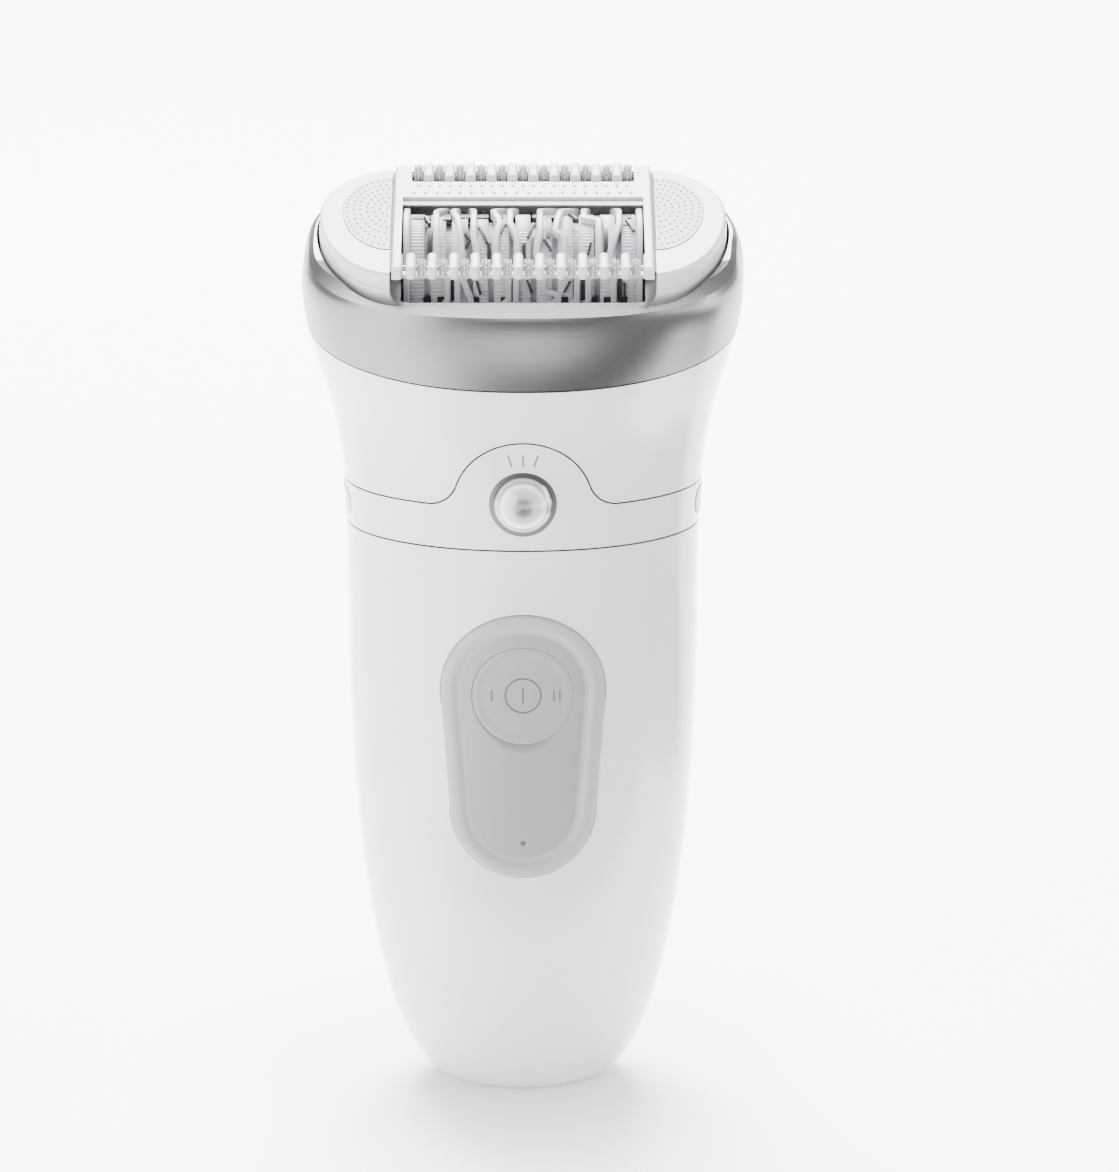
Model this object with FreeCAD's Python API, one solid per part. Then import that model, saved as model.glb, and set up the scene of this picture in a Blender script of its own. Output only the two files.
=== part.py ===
"""Hand-held cordless epilator, standing on its base.

Row frame, millimetres: +Z up, -Y is the front with the switch pad and the lamp, origin at the centre
of the flat base. The handle is upright. The head sits on it and its rim leans HEAD_TILT degrees
forward about X. The pod inside the rim rocks about the tweezer barrel's axis.

One smooth outer form, body_form(), is lofted through superellipse sections. Every shell is that form
less the same form set inwards, and the seams are cuts across it, so neighbours stay flush.
"""

import FreeCAD, Part
import os
from math import acos, atan2, cos, degrees, hypot, pi, radians, sin, sqrt, tan

V = FreeCAD.Vector
X, Y, Z = V(1, 0, 0), V(0, 1, 0), V(0, 0, 1)
PARTS = "parts"
BIG = 200.0

# ---- outer form ----
BASE_HALF_WIDTH, BASE_FRONT, BASE_BACK = 10.0, 7.5, 8.0
GRIP_HALF_WIDTH, GRIP_FRONT, GRIP_BACK = 26.8, 19.0, 18.7
GRIP_Z = 80.0  # the handle reaches its full section here
SQUARENESS = 2.05  # superellipse exponent of the handle's sections
WALL = 1.7
FLOOR = 2.0
HEAD_TILT = 16.0
HEAD_ORIGIN = V(0, -4.48, 135.37)  # centre of the pod in the rim plane
RIM_Z, RIM_HALF_WIDTH, RIM_HALF_DEPTH = -0.7, 31.95, 21.7  # the rim's outer edge, in the head's frame
LIP_Z, LIP_HALF_WIDTH, LIP_HALF_DEPTH = 0.35, 31.2, 18.3  # the rim's top slopes up to the pod's opening
RIM_SQUARENESS = 2.8
# centre height, tilt, half width, half depth and exponent of the sections from the collar up to the rim
HEAD_SECTIONS = (
    (98.0, 0.0, 27.2, 18.85, SQUARENESS),
    (104.0, 3.5, 27.9, 19.3, SQUARENESS),
    (110.5, 8.0, 29.2, 20.4, SQUARENESS),
    (117.0, 12.8, 31.0, 21.9, 2.1),
    (123.6, HEAD_TILT, 32.6, 23.2, 2.2),
    (129.5, HEAD_TILT, 33.1, 22.75, 2.6),
)

# ---- seams ----
SEAM = 0.25
COLLAR_Z = 91.15  # underside of the collar
NECK_Z = 98.0  # top of the collar, where the head comes off
BAND_DROP = 12.45  # height of the metal band below the rim
SPLIT_Y = 2.0  # the handle's two shells meet in this plane
HUMP_Z, HUMP_R, HUMP_FILLET = 97.92, 10.5, 4.5
LAMP_Z, LAMP_RING_R, LAMP_R = 98.6, 5.0, 4.35
RELEASE_Z = (COLLAR_Z + SEAM + NECK_Z) / 2

# ---- switch pad ----
PAD_TOP_Z, PAD_TOP_R = 68.8, 12.5
PAD_LOW_Z, PAD_LOW_R = 49.9, 11.1
PAD_RIM = 2.4
PAD_PROUD, PAD_FLOOR, PAD_SEAT = 0.3, 0.3, 1.0
BUTTON_Z, BUTTON_R, BUTTON_GAP = 68.3, 7.6, 0.1
BUTTON_TRAVEL = 0.8
CHARGE_LAMP_Z, CHARGE_LAMP_R = 44.4, 0.45

# ---- pod, barrel and cap, in the head's own frame ----
POD_STRAIGHT, WIDEST_Y = 18.5, 2.5  # the pod's sides are straight to here, and its ends are widest here
POD_HALF_WIDTH, POD_HALF_DEPTH, POD_TOP, POD_BOTTOM = 30.3, 16.0, 3.4, -8.0
POD_STEP, POD_STEP_Z = 0.15, 0.9  # the lower wall of the pod stands this far out, below this height
OPEN_HALF_WIDTH, OPEN_FRONT, OPEN_BACK = 30.85, 18.9, 17.9  # hole in the rim that the pod stands in
OPEN_STRAIGHT = 17.0
BARREL_Y, BARREL_Z = -0.5, -5.4
BARREL_HALF, BARREL_R, DRUM_R = 17.3, 9.8, 8.8
SEGMENT_COUNT = 11
BARREL_PITCH = 2 * BARREL_HALF / SEGMENT_COUNT
DISC_WIDTH, PLATE_WIDTH = 0.9, 0.28
TROUGH_R, TROUGH_HALF = 10.5, 18.05
POD_WALL_X, WINDOW_HALF, WINDOW_Z, WINDOW_R = 19.7, 19.6, -2.1, 2.8
CAP_HALF, CAP_BASE, CAP_TOP = 19.25, 2.6, 4.2
CAP_FRONT, CAP_BACK = -16.2, 15.5
CAP_OPEN_HALF, CAP_OPEN_BACK = 18.0, 5.8
STRIP_Y0, STRIP_Y1, STRIP_Z0, STRIP_Z1 = 4.4, 5.45, 3.1, 3.7
PAD_X0, PAD_X1, PAD_FRONT, PAD_BACK, PAD_WIDEST = 19.65, 26.95, 8.8, 13.2, 3.6
ROLL_PITCH, ROLL_COUNT = 3.15, 11
ROLL_R, ROLL_WIDTH, WIRE_R = 1.45, 1.4, 0.4
FRONT_ROLL_Y, FRONT_ROLL_Z, FRONT_ROLL_X0 = -13.4, 2.95, -14.87
REAR_ROLL_Y, REAR_ROLL_Z, REAR_ROLL_X0 = 13.6, 3.9, -15.75
FINGER_HALF, LEG_BLOCK_HALF = 0.72, 0.8

# ---- drive ----
MODULE = 0.5
ADDENDUM, DEDENDUM, THINNING = 0.8, 1.15, 0.12
PRESSURE = radians(20)
BARREL_TEETH, IDLER_TEETH, CROSS_TEETH = 22, 14, 12
BEVEL_TEETH, PINION_TEETH = 18, 12
MOTOR_TEETH, OUTPUT_TEETH = 12, 30
GEAR_X0, GEAR_X1 = 20.6, 22.6
BEVEL_FACE = 1.6
CROSS_Y = 0.0
SHAFT_R, RUN = 1.5, 0.05  # shaft radius and running clearance
UPRIGHT_X0, UPRIGHT_X1 = 24.0, 27.0
MOTOR_R, MOTOR_X, MOTOR_Z0, MOTOR_Z1 = 10.0, -9.5, 53.0, 82.5
SPUR_Z0, SPUR_Z1 = 87.6, 90.4
BATTERY_R, BATTERY_X, BATTERY_Y, BATTERY_Z0, BATTERY_Z1 = 7.0, 9.2, 3.4, 28.0, 78.0
BOARD_Y0, BOARD_Y1 = -12.4, -11.2
DECK_Z0, DECK_Z1, SPIGOT_Z = 94.6, 96.4, 101.0
BOARD_SCREWS = ((-9.5, 40.0), (9.5, 40.0), (-9.5, 80.0), (9.5, 80.0))
DECK_SCREWS = ((-14.0, -7.5), (14.0, -7.5), (13.0, 9.0))
CHASSIS_SCREWS = ((-16.0, -9.0), (16.0, -9.0), (-16.0, 9.0), (16.0, 9.0))
INLET_HALF, INLET_Y0, INLET_Y1, INLET_TOP = 4.6, 0.9, 6.1, 11.0  # recess for the charging plug
SOCKET_WALL = 1.3
PIN_X, PIN_Y = (-2.4, 2.4), (INLET_Y0 + INLET_Y1) / 2


# ---- small helpers ----
def box(x0, x1, y0, y1, z0, z1):
    return Part.makeBox(x1 - x0, y1 - y0, z1 - z0, V(x0, y0, z0))


def slab(z0, z1):
    return box(-BIG, BIG, -BIG, BIG, z0, z1)


def rod(axis, start, radius, length):
    return Part.makeCylinder(radius, length, start, axis)


def tube(axis, start, outer, inner, length):
    return rod(axis, start, outer, length).cut(rod(axis, start, inner, length))


def fuse(first, *others):
    return first.multiFuse(list(others))


def group(shapes):
    return Part.makeCompound(list(shapes))


def cut_all(shape, tools):
    for tool in tools:
        shape = shape.cut(tool)
    return shape


def prism(points, direction):
    """A closed polygon of points, swept along direction."""
    return Part.Face(Part.makePolygon([*points, points[0]])).extrude(direction)


def head_place(shape):
    """Moves a shape from the head's own frame to the row frame."""
    placed = shape.copy()
    placed.Placement = FreeCAD.Placement(HEAD_ORIGIN, FreeCAD.Rotation(X, HEAD_TILT)) * placed.Placement
    return placed


def head_point(y, z):
    """(y, z) in the head's own frame, as a point in the row frame with x at 0."""
    turn = radians(HEAD_TILT)
    return V(0, HEAD_ORIGIN.y + y * cos(turn) - z * sin(turn), HEAD_ORIGIN.z + y * sin(turn) + z * cos(turn))


BARREL_AXIS = head_point(BARREL_Y, BARREL_Z)
TRAIN = (BARREL_TEETH + 2 * IDLER_TEETH + CROSS_TEETH) * MODULE / 2
CROSS_Z = BARREL_AXIS.z - sqrt(TRAIN**2 - (CROSS_Y - BARREL_AXIS.y) ** 2)


# ---- outer form ----
def section(y, z, tilt, half_width, half_depth, power=SQUARENESS):
    """A closed superellipse about (0, y, z), in a plane tipped forward by tilt."""
    count = 28
    turn = radians(tilt)
    points = []
    for i in range(count):
        angle = 2 * pi * i / count
        across = abs(cos(angle) / half_width) ** power
        along = abs(sin(angle) / half_depth) ** power
        reach = (across + along) ** (-1 / power)
        depth = reach * sin(angle)
        points.append(V(reach * cos(angle), y + depth * cos(turn), z + depth * sin(turn)))
    curve = Part.BSplineCurve()
    steps = [i / count for i in range(count + 1)]
    curve.interpolate(Points=points, PeriodicFlag=True, Parameters=steps)
    return Part.Wire([curve.toShape()])


def handle_section(z, inset):
    rise = 1 - (1 - min(z / GRIP_Z, 1)) ** 2.3
    width = BASE_HALF_WIDTH + (GRIP_HALF_WIDTH - BASE_HALF_WIDTH) * rise**0.44
    front = BASE_FRONT + (GRIP_FRONT - BASE_FRONT) * rise**0.5
    back = BASE_BACK + (GRIP_BACK - BASE_BACK) * rise**0.5
    return section((back - front) / 2, z, 0, width - inset, (back + front) / 2 - inset)


def centre_y(z):
    """The head's centre line leans forward towards the rim."""
    share = (z - NECK_Z) / (HEAD_ORIGIN.z - NECK_Z)
    return HEAD_ORIGIN.y * share**4 - 0.15 * (1 - share)


def body_form(inset=0.0, floor=0.0):
    """The whole outer form from the floor height up to the rim, set inwards by inset."""
    low = [z for z in (0.0, 0.5, 1.5, 3.2, 6.0, 10.0, 15.5, 23.0, 33.0, 45.0, 58.0, 72.0, 86.0) if z > floor]
    wires = [handle_section(z, inset) for z in (floor, *low)]
    wires += [section(centre_y(z), z, tilt, a - inset, b - inset, n) for z, tilt, a, b, n in HEAD_SECTIONS]
    rim = head_point(0, RIM_Z)
    half_width, half_depth = RIM_HALF_WIDTH - inset, RIM_HALF_DEPTH - inset
    wires.append(section(rim.y, rim.z, HEAD_TILT, half_width, half_depth, RIM_SQUARENESS))
    return Part.makeLoft(wires, True, False)


def oblong(reach, front, back, z0, z1, straight=POD_STRAIGHT, widest=WIDEST_Y):
    """A block with a straight middle and rounded ends, each widest a little behind the centre."""
    edges = []
    for side in (-1, 1):
        centre, tip = V(side * straight, widest, z0), V(side * reach, widest, z0)
        for end in (V(side * straight, -front, z0), V(side * straight, back, z0)):
            long_end, short_end = sorted((tip, end), key=lambda p: -(p - centre).Length)
            quarter = Part.ArcOfEllipse(Part.Ellipse(long_end, short_end, centre), 0, pi / 2)
            edges.append(quarter.toShape())
    for y in (-front, back):
        edges.append(Part.LineSegment(V(-straight, y, z0), V(straight, y, z0)).toShape())
    return Part.Face(Part.Wire(Part.__sortEdges__(edges))).extrude(V(0, 0, z1 - z0))


def tapered_outline(top_z, top_r, low_z, low_r, y0, y1):
    """Two circles joined by their tangents, as a block along Y: the switch pad's outline."""
    lean = acos((low_r - top_r) / (top_z - low_z)) - pi / 2
    sides = [(top_r * cos(lean), top_z + top_r * sin(lean)), (low_r * cos(lean), low_z + low_r * sin(lean))]
    corners = [V(x, y0, z) for x, z in sides] + [V(-x, y0, z) for x, z in reversed(sides)]
    middle = prism(corners, V(0, y1 - y0, 0))
    discs = [rod(Y, V(0, y0, z), r, y1 - y0) for z, r in ((top_z, top_r), (low_z, low_r))]
    return fuse(middle, *discs)


def hump_block(offset, y0, y1):
    """What lies under the neck seam at the front: a slab, with a hump round the lamp."""
    line = NECK_Z + offset
    radius = HUMP_R + offset
    fillet = HUMP_FILLET - offset
    corner_z = line + fillet
    corner_x = sqrt((radius + fillet) ** 2 - (corner_z - HUMP_Z) ** 2)
    share = radius / (radius + fillet)
    touch = V(corner_x * share, y0, HUMP_Z + (corner_z - HUMP_Z) * share)
    mirror = V(-touch.x, y0, touch.z)
    turn = atan2(touch.z - corner_z, touch.x - corner_x)
    bottom = -pi / 2
    middle = (turn - 2 * pi + bottom) / 2 if turn > 0 else (turn + bottom) / 2
    dip = V(corner_x + fillet * cos(middle), y0, corner_z + fillet * sin(middle))
    right, left = V(corner_x, y0, line), V(-corner_x, y0, line)
    edges = [
        Part.Arc(right, dip, touch).toShape(),
        Part.Arc(touch, V(0, y0, HUMP_Z + radius), mirror).toShape(),
        Part.Arc(mirror, V(-dip.x, y0, dip.z), left).toShape(),
    ]
    frame = [left, V(-BIG, y0, line), V(-BIG, y0, -9), V(BIG, y0, -9), V(BIG, y0, line), right]
    edges += [Part.LineSegment(a, b).toShape() for a, b in zip(frame, frame[1:])]
    return Part.Face(Part.Wire(Part.__sortEdges__(edges))).extrude(V(0, y1 - y0, 0))


def under_neck(offset):
    """Everything below the neck seam, raised or lowered by offset."""
    return fuse(hump_block(offset, -BIG, 0), box(-BIG, BIG, -0.01, BIG, -9, NECK_Z + offset))


def over_band(offset):
    """Everything above the band's lower edge, in the row frame."""
    return head_place(slab(-BAND_DROP + offset, BIG))


# ---- gears ----
def tooth_side(pitch_r, teeth):
    """Half a tooth as (radius, half angle) from the root to the tip, on an involute's chords."""
    base_r = pitch_r * cos(PRESSURE)
    root_r, tip_r = pitch_r - DEDENDUM * MODULE, pitch_r + ADDENDUM * MODULE
    half = pi / (2 * teeth) - THINNING / (2 * pitch_r)
    rolled = tan(PRESSURE) - PRESSURE

    def half_angle(radius):
        lean = acos(min(1.0, base_r / radius))
        return half + rolled - (tan(lean) - lean)

    start = max(base_r, root_r)
    radii = [start + (tip_r - start) * share for share in (0, 0.35, 0.7, 1)]
    sides = [(r, half_angle(r)) for r in radii]
    return [(root_r, half_angle(start)), *sides] if start > root_r else sides


def spur_gear(teeth, bore, width, phase):
    """A spur gear about +Z from z = 0, with a tooth centred at the angle phase."""
    pitch_r = teeth * MODULE / 2
    side = tooth_side(pitch_r, teeth)
    points = []
    for i in range(teeth):
        centre = phase + 2 * pi * i / teeth
        for radius, half in side:
            points.append(V(radius * cos(centre - half), radius * sin(centre - half), 0))
        for radius, half in reversed(side):
            points.append(V(radius * cos(centre + half), radius * sin(centre + half), 0))
    return prism(points, V(0, 0, width)).cut(rod(Z, V(0, 0, -1), bore, width + 2))


def to_x_axis(shape, x, y, z):
    """Turns a shape made about +Z so that it lies about +X. The angle phase is then from +Y to +Z."""
    placed = shape.copy()
    turn = FreeCAD.Rotation(FreeCAD.Vector(1, 1, 1), 120)
    placed.Placement = FreeCAD.Placement(V(x, y, z), turn)
    return placed


def bevel_gear(teeth, mate_teeth, bore, back, phase):
    """A straight bevel gear about +Z with its apex at the origin and its teeth below the apex,
    with a tooth centred at the angle phase. back is the length of the hub behind the teeth."""
    pitch_r, apex = teeth * MODULE / 2, mate_teeth * MODULE / 2
    cone = atan2(pitch_r, apex)
    slant = hypot(pitch_r, apex)
    inner = (slant - BEVEL_FACE) / slant
    virtual_r = pitch_r / cos(cone)
    side = tooth_side(virtual_r, teeth / cos(cone))
    sunk = [(side[0][0] - 0.35, side[0][1]), *side]
    half = [(radius * sin(angle), radius * cos(angle) - virtual_r) for radius, angle in sunk]
    profile = [(-t, h) for t, h in half] + [(t, h) for t, h in reversed(half)]

    def ring(centre, scale):
        out = V(cos(centre), sin(centre), 0)
        across = V(-sin(centre), cos(centre), 0)
        up = out * cos(cone) + V(0, 0, sin(cone))
        at = out * pitch_r - V(0, 0, apex)
        points = [(at + across * t + up * h) * scale for t, h in profile]
        return Part.makePolygon([*points, points[0]])

    centres = [phase + 2 * pi * i / teeth for i in range(teeth)]
    cut_teeth = [Part.makeLoft([ring(c, 1), ring(c, inner)], True, True) for c in centres]
    drop = DEDENDUM * MODULE
    root_r, root_z = pitch_r - drop * cos(cone), -apex - drop * sin(cone)
    outline = [
        V(bore, 0, root_z - back),
        V(root_r, 0, root_z - back),
        V(root_r, 0, root_z),
        V(root_r * inner, 0, root_z * inner),
        V(bore, 0, root_z * inner),
    ]
    blank = Part.Face(Part.makePolygon([*outline, outline[0]])).revolve(V(0, 0, 0), Z, 360)
    return blank.multiFuse(cut_teeth)


def hexagon(flats, z0, z1):
    radius = flats / sqrt(3)
    points = [V(radius * cos(pi / 3 * i), radius * sin(pi / 3 * i), z0) for i in range(6)]
    return prism(points, V(0, 0, z1 - z0))


def screw(axis, at, head_r, head_h, shank_r, length):
    """A pan-head screw whose head stands on the point at, with its shank going the other way."""
    head = rod(axis, at, head_r, head_h)
    slot_depth = head_h * 0.45
    drive = rod(axis, at + axis * (head_h - slot_depth), head_r * 0.45, slot_depth)
    return fuse(head.cut(drive), rod(axis, at - axis * length, shank_r, length))


# ---- handle ----
def handle_walls(form, hollow):
    walls = form.cut(hollow).common(slab(0, COLLAR_Z))
    return walls.cut(socket_block(0.05)).cut(inlet_recess())


def pad_outline(grow, y0=-30.0, y1=-5.0):
    return tapered_outline(PAD_TOP_Z, PAD_TOP_R + grow, PAD_LOW_Z, PAD_LOW_R + grow, y0, y1)


def front_shell(form, hollow, pad_bed):
    """The front half of the handle, with the bed and the openings for the switch pad."""
    shell = handle_walls(form, hollow).common(box(-BIG, BIG, -BIG, SPLIT_Y, 0, BIG))
    bed = pad_outline(0.06).cut(pad_bed)
    button_hole = rod(Y, V(0, -30, BUTTON_Z), BUTTON_R + BUTTON_GAP, 25)
    lamp_hole = rod(Y, V(0, -30, CHARGE_LAMP_Z), CHARGE_LAMP_R + 0.5, 25)
    shell = cut_all(shell, [bed, button_hole, lamp_hole])
    posts = [rod(Y, V(x, -22, z), 2.0, 22 + BOARD_Y0).common(pad_bed) for x, z in BOARD_SCREWS]
    screw_holes = [rod(Y, V(x, -15.4, z), 0.8, 6) for x, z in BOARD_SCREWS]
    return fuse(shell, *posts).cut(group(screw_holes))


def rear_shell(form, hollow):
    """The rear half, with a thin tongue inside the side seam that the front half closes on."""
    shell = handle_walls(form, hollow).common(box(-BIG, BIG, SPLIT_Y + 0.08, BIG, 0, BIG))
    inner = body_form(WALL + 1.0, FLOOR)
    lip = body_form(WALL + 0.05, FLOOR).cut(inner)
    lip = lip.common(box(-BIG, BIG, SPLIT_Y - 2.5, SPLIT_Y + 0.5, 20, 82))
    root = body_form(WALL - 0.2, FLOOR).cut(inner)
    root = root.common(box(-BIG, BIG, SPLIT_Y + 0.5, SPLIT_Y + 3.0, 20, 82))
    return shell.fuse(root).fuse(lip)


def upright_block(half_x, y0, y1, z0, z1, corner):
    """A block with its four upright edges rounded."""
    block = box(-half_x, half_x, y0, y1, z0, z1)
    return block.makeFillet(corner, [e for e in block.Edges if abs(e.tangentAt(e.FirstParameter).z) > 0.99])


def inlet_recess():
    return upright_block(INLET_HALF, INLET_Y0, INLET_Y1, -1, INLET_TOP, 0.8)


def socket_block(grow):
    """The charging socket's body, which stands in the floor."""
    edge = SOCKET_WALL + grow
    return upright_block(INLET_HALF + edge, INLET_Y0 - edge, INLET_Y1 + edge, 0.3, 14.0, 2.0)


def charge_socket():
    """A moulded socket in the base, open downwards, with its recess for the charging plug."""
    pins = [rod(Z, V(x, PIN_Y, 5.0), 0.66, 14.0) for x in PIN_X]
    return socket_block(0).cut(inlet_recess()).cut(group(pins))


def charge_pins():
    return group(rod(Z, V(x, PIN_Y, 6.6), 0.6, 11.0) for x in PIN_X)


def collar(form, hollow):
    """The white ring between the two seams, with its hump round the lamp."""
    ring = form.cut(hollow).common(slab(COLLAR_Z + SEAM, BIG)).common(under_neck(-SEAM / 2))
    lamp = rod(Y, V(0, -30, LAMP_Z), LAMP_RING_R + 0.05, 25)
    buttons = [release_block(side, 0.12) for side in (-1, 1)]
    return ring.cut(lamp).cut(group(buttons))


def neck_prism(inset):
    """An upright prism on the outer form's section at the neck seam, so the head slides off it."""
    half_width, half_depth = HEAD_SECTIONS[0][2] - inset, HEAD_SECTIONS[0][3] - inset
    wires = [section(centre_y(NECK_Z), z, 0, half_width, half_depth) for z in (DECK_Z0 - 1, SPIGOT_Z)]
    return Part.makeLoft(wires, True, True)


def arm_slots(reach):
    """Room beside the spigot for the release arms."""
    return group(box(s * 23.6 - 3.0, s * 23.6 + 3.0, -reach, reach, 90, SPIGOT_Z + 2) for s in (-1, 1))


def neck_deck(collar_bore):
    """The floor under the head, with the spigot that the head pushes over and the upper bearing seat."""
    outer = neck_prism(WALL + 0.12).common(collar_bore).common(slab(DECK_Z0, SPIGOT_Z))
    tray = outer.cut(neck_prism(WALL + 1.7).common(slab(DECK_Z1, BIG)))
    boss = rod(Z, V(0, 0, DECK_Z1), 4.0, 1.4)
    lugs = [box(min(s * 16.6, s * 18.0), max(s * 16.6, s * 18.0), -2.4, 2.4, DECK_Z1, 101) for s in (-1, 1)]
    whole = fuse(tray, boss, *lugs)
    lamp = rod(Y, V(0, -30, LAMP_Z), LAMP_RING_R + 0.4, 22)
    shaft = rod(Z, V(0, 0, DECK_Z0 - 1), 2.6, 5)
    screws = [rod(Z, V(x, y, DECK_Z0 - 1), 1.05, 5) for x, y in DECK_SCREWS]
    rooms = [box(*sorted((s * 23.2, s * 28.0)), -5.6, 5.6, 90, RELEASE_Z + 2.5) for s in (-1, 1)]
    return whole.cut(group([lamp, shaft, *screws])).cut(arm_slots(3.2)).cut(group(rooms))


def neck_seal():
    """The thin sealing ring round the spigot."""
    ring = neck_prism(WALL + 0.04).cut(neck_prism(WALL + 0.12)).common(slab(99.2, 100.2))
    return ring.cut(rod(Y, V(0, -30, LAMP_Z), LAMP_RING_R + 0.4, 22)).cut(arm_slots(3.2))


def gear_plate(inside):
    """The plate under the gear pair, which the motor hangs from, with its pillars up to the deck."""
    plate = inside.common(slab(84.4, 86.2)).common(box(-24.4, 24.4, -10.6, 16.4, 80, 90))
    pillars = [rod(Z, V(x, y, 86.2), 2.2, DECK_Z0 - 86.2) for x, y in DECK_SCREWS]
    whole = fuse(plate, *pillars)
    holes = [rod(Z, V(x, y, 84), 0.8, 12) for x, y in DECK_SCREWS]
    holes += [rod(Z, V(0, 0, 84), 2.6, 3), rod(Z, V(MOTOR_X, MOTOR_Y, 84), 3.2, 3)]
    holes += [rod(Z, V(MOTOR_X + x, MOTOR_Y, 84), 1.05, 3) for x in (-6.0, 6.0)]
    return whole.cut(group(holes))


MOTOR_Y = sqrt(((MOTOR_TEETH + OUTPUT_TEETH) * MODULE / 2) ** 2 - MOTOR_X**2)


def motor_can():
    can = rod(Z, V(MOTOR_X, MOTOR_Y, MOTOR_Z0), MOTOR_R, MOTOR_Z1 - MOTOR_Z0)
    can = can.makeFillet(0.8, can.Edges)
    nose = rod(Z, V(MOTOR_X, MOTOR_Y, MOTOR_Z1), 3.0, 3.0)
    seat = rod(Z, V(MOTOR_X, MOTOR_Y, MOTOR_Z1), 7.8, 84.4 - MOTOR_Z1)
    bore = rod(Z, V(MOTOR_X, MOTOR_Y, MOTOR_Z1 - 6), 1.0 + RUN, 12)
    threads = [rod(Z, V(MOTOR_X + x, MOTOR_Y, 80), 0.85, 5) for x in (-6.0, 6.0)]
    return fuse(can, nose, seat).cut(bore).cut(group(threads))


def output_shaft():
    """The shaft that carries the large gear and ends in the hexagon that drives the head."""
    shaft = rod(Z, V(0, 0, 84.6), SHAFT_R, 99.0 - 84.6)
    return fuse(shaft, hexagon(3.0, 98.6, 101.6))


def board():
    plate = box(-12, 12, BOARD_Y0, BOARD_Y1, 36, 83.5)
    return plate.cut(group(rod(Y, V(x, -20, z), 1.1, 20) for x, z in BOARD_SCREWS))


def board_parts():
    """Chips, a connector and capacitors on the rear of the board."""
    back = BOARD_Y1
    chips = [box(-8, -1.5, back, back + 1.2, 60, 66.5), box(-9, -5.2, back, back + 1.0, 47.4, 51.4)]
    chips += [box(-3.5, 3.5, back, back + 2.6, 74.5, 78.5)]
    chips += [rod(Y, V(-8.5, back, 71.5), 2.2, 3.6)]
    chips += [box(x, x + 1.6, back, back + 0.7, 54.5, 55.5) for x in (-10, -7.4, -4.8)]
    return group(chips)


def charge_lamp(form):
    """A short light pipe from the board to the pad's floor."""
    pipe = rod(Y, V(0, -30, CHARGE_LAMP_Z), CHARGE_LAMP_R, 30 + BOARD_Y0 - 0.6)
    return pipe.common(form)


def tact_switch():
    case = box(-3, 3, BOARD_Y0 - 2.0, BOARD_Y0, BUTTON_Z - 3, BUTTON_Z + 3)
    return fuse(case, rod(Y, V(0, BOARD_Y0 - 2.4, BUTTON_Z), 1.5, 0.5))


def button_outline(radius, y0=-30.0, y1=-5.0):
    return rod(Y, V(0, y0, BUTTON_Z), radius, y1 - y0)


def grip_pad(rim_form, floor_form, pad_bed):
    """The soft switch pad: a raised rim round a lower floor, with the button's hole."""
    valley = tapered_outline(
        PAD_TOP_Z, PAD_TOP_R - PAD_RIM, PAD_LOW_Z, PAD_LOW_R - PAD_RIM, -30, -5
    ).cut(floor_form)
    pad = pad_outline(0).common(rim_form).cut(valley).cut(pad_bed)
    lamp = rod(Y, V(0, -30, CHARGE_LAMP_Z), CHARGE_LAMP_R + 0.05, 25)
    return pad.cut(button_outline(BUTTON_R + BUTTON_GAP)).cut(lamp)


def power_button(form):
    """The round dished button, with a flange that keeps it in the wall and a stem for the switch."""
    cap = button_outline(BUTTON_R, -30, -15.85).common(form)
    dish = Part.makeSphere(40.0, V(0, -18.5 - 40.0 + 0.35, BUTTON_Z))
    flange = button_outline(BUTTON_R + 0.9, -15.95, -15.0).cut(button_outline(BUTTON_R - 2.6, -17, -14))
    stem_end = BOARD_Y0 - 2.4 - BUTTON_TRAVEL - 0.1
    stem = rod(Y, V(0, -16, BUTTON_Z), 1.6, stem_end + 16)
    return fuse(cap.cut(dish), flange, stem)


def release_block(side, grow):
    """The oval of a release button on the collar's side, as a block through the wall."""
    half_y, half_z = 5.2 + grow, 2.1 + grow
    middle = box(-8, 8, half_z - half_y, half_y - half_z, RELEASE_Z - half_z, RELEASE_Z + half_z)
    ends = [rod(X, V(-8, s * (half_y - half_z), RELEASE_Z), half_z, 16) for s in (-1, 1)]
    block = fuse(middle, *ends)
    block.translate(V(side * 26.5, 0, 0))
    return block


def release_button(side, proud_form):
    """An oval cap, with the arm whose nose stands beside the head's catch."""
    inner, outer = side * 24.6, side * 30.0
    keep = box(min(inner, outer), max(inner, outer), -8, 8, 88, 100)
    cap = release_block(side, 0).common(proud_form).common(keep)
    arm = box(22.0, 24.9, -2.0, 2.0, RELEASE_Z - 1.4, RELEASE_Z + 1.4)
    blade = box(22.0, 23.2, -2.0, 2.0, RELEASE_Z - 1.4, 103.2)
    nose = prism([V(22.0, -2, 101.4), V(24.7, -2, 101.4), V(23.2, -2, 103.2), V(22.0, -2, 103.2)], V(0, 4, 0))
    lever = fuse(arm, blade, nose)
    if side < 0:
        lever = lever.mirror(V(0, 0, 0), X)
    return fuse(cap, lever)


def release_spring(side):
    """A sprung hoop of flat strip between the arm and the deck's stop."""
    return tube(Y, V(side * 20.0, -1.2, 98.9), 2.0, 1.75, 2.4)


def lamp_ring(form):
    """The bright ring round the lamp."""
    ring = rod(Y, V(0, -20.4, LAMP_Z), LAMP_RING_R, 7.4)
    ring = ring.common(form)
    return ring.cut(rod(Y, V(0, -30, LAMP_Z), LAMP_R + 0.05, 14.2)).cut(rod(Y, V(0, -30, LAMP_Z), 3.6, 25))


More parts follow.
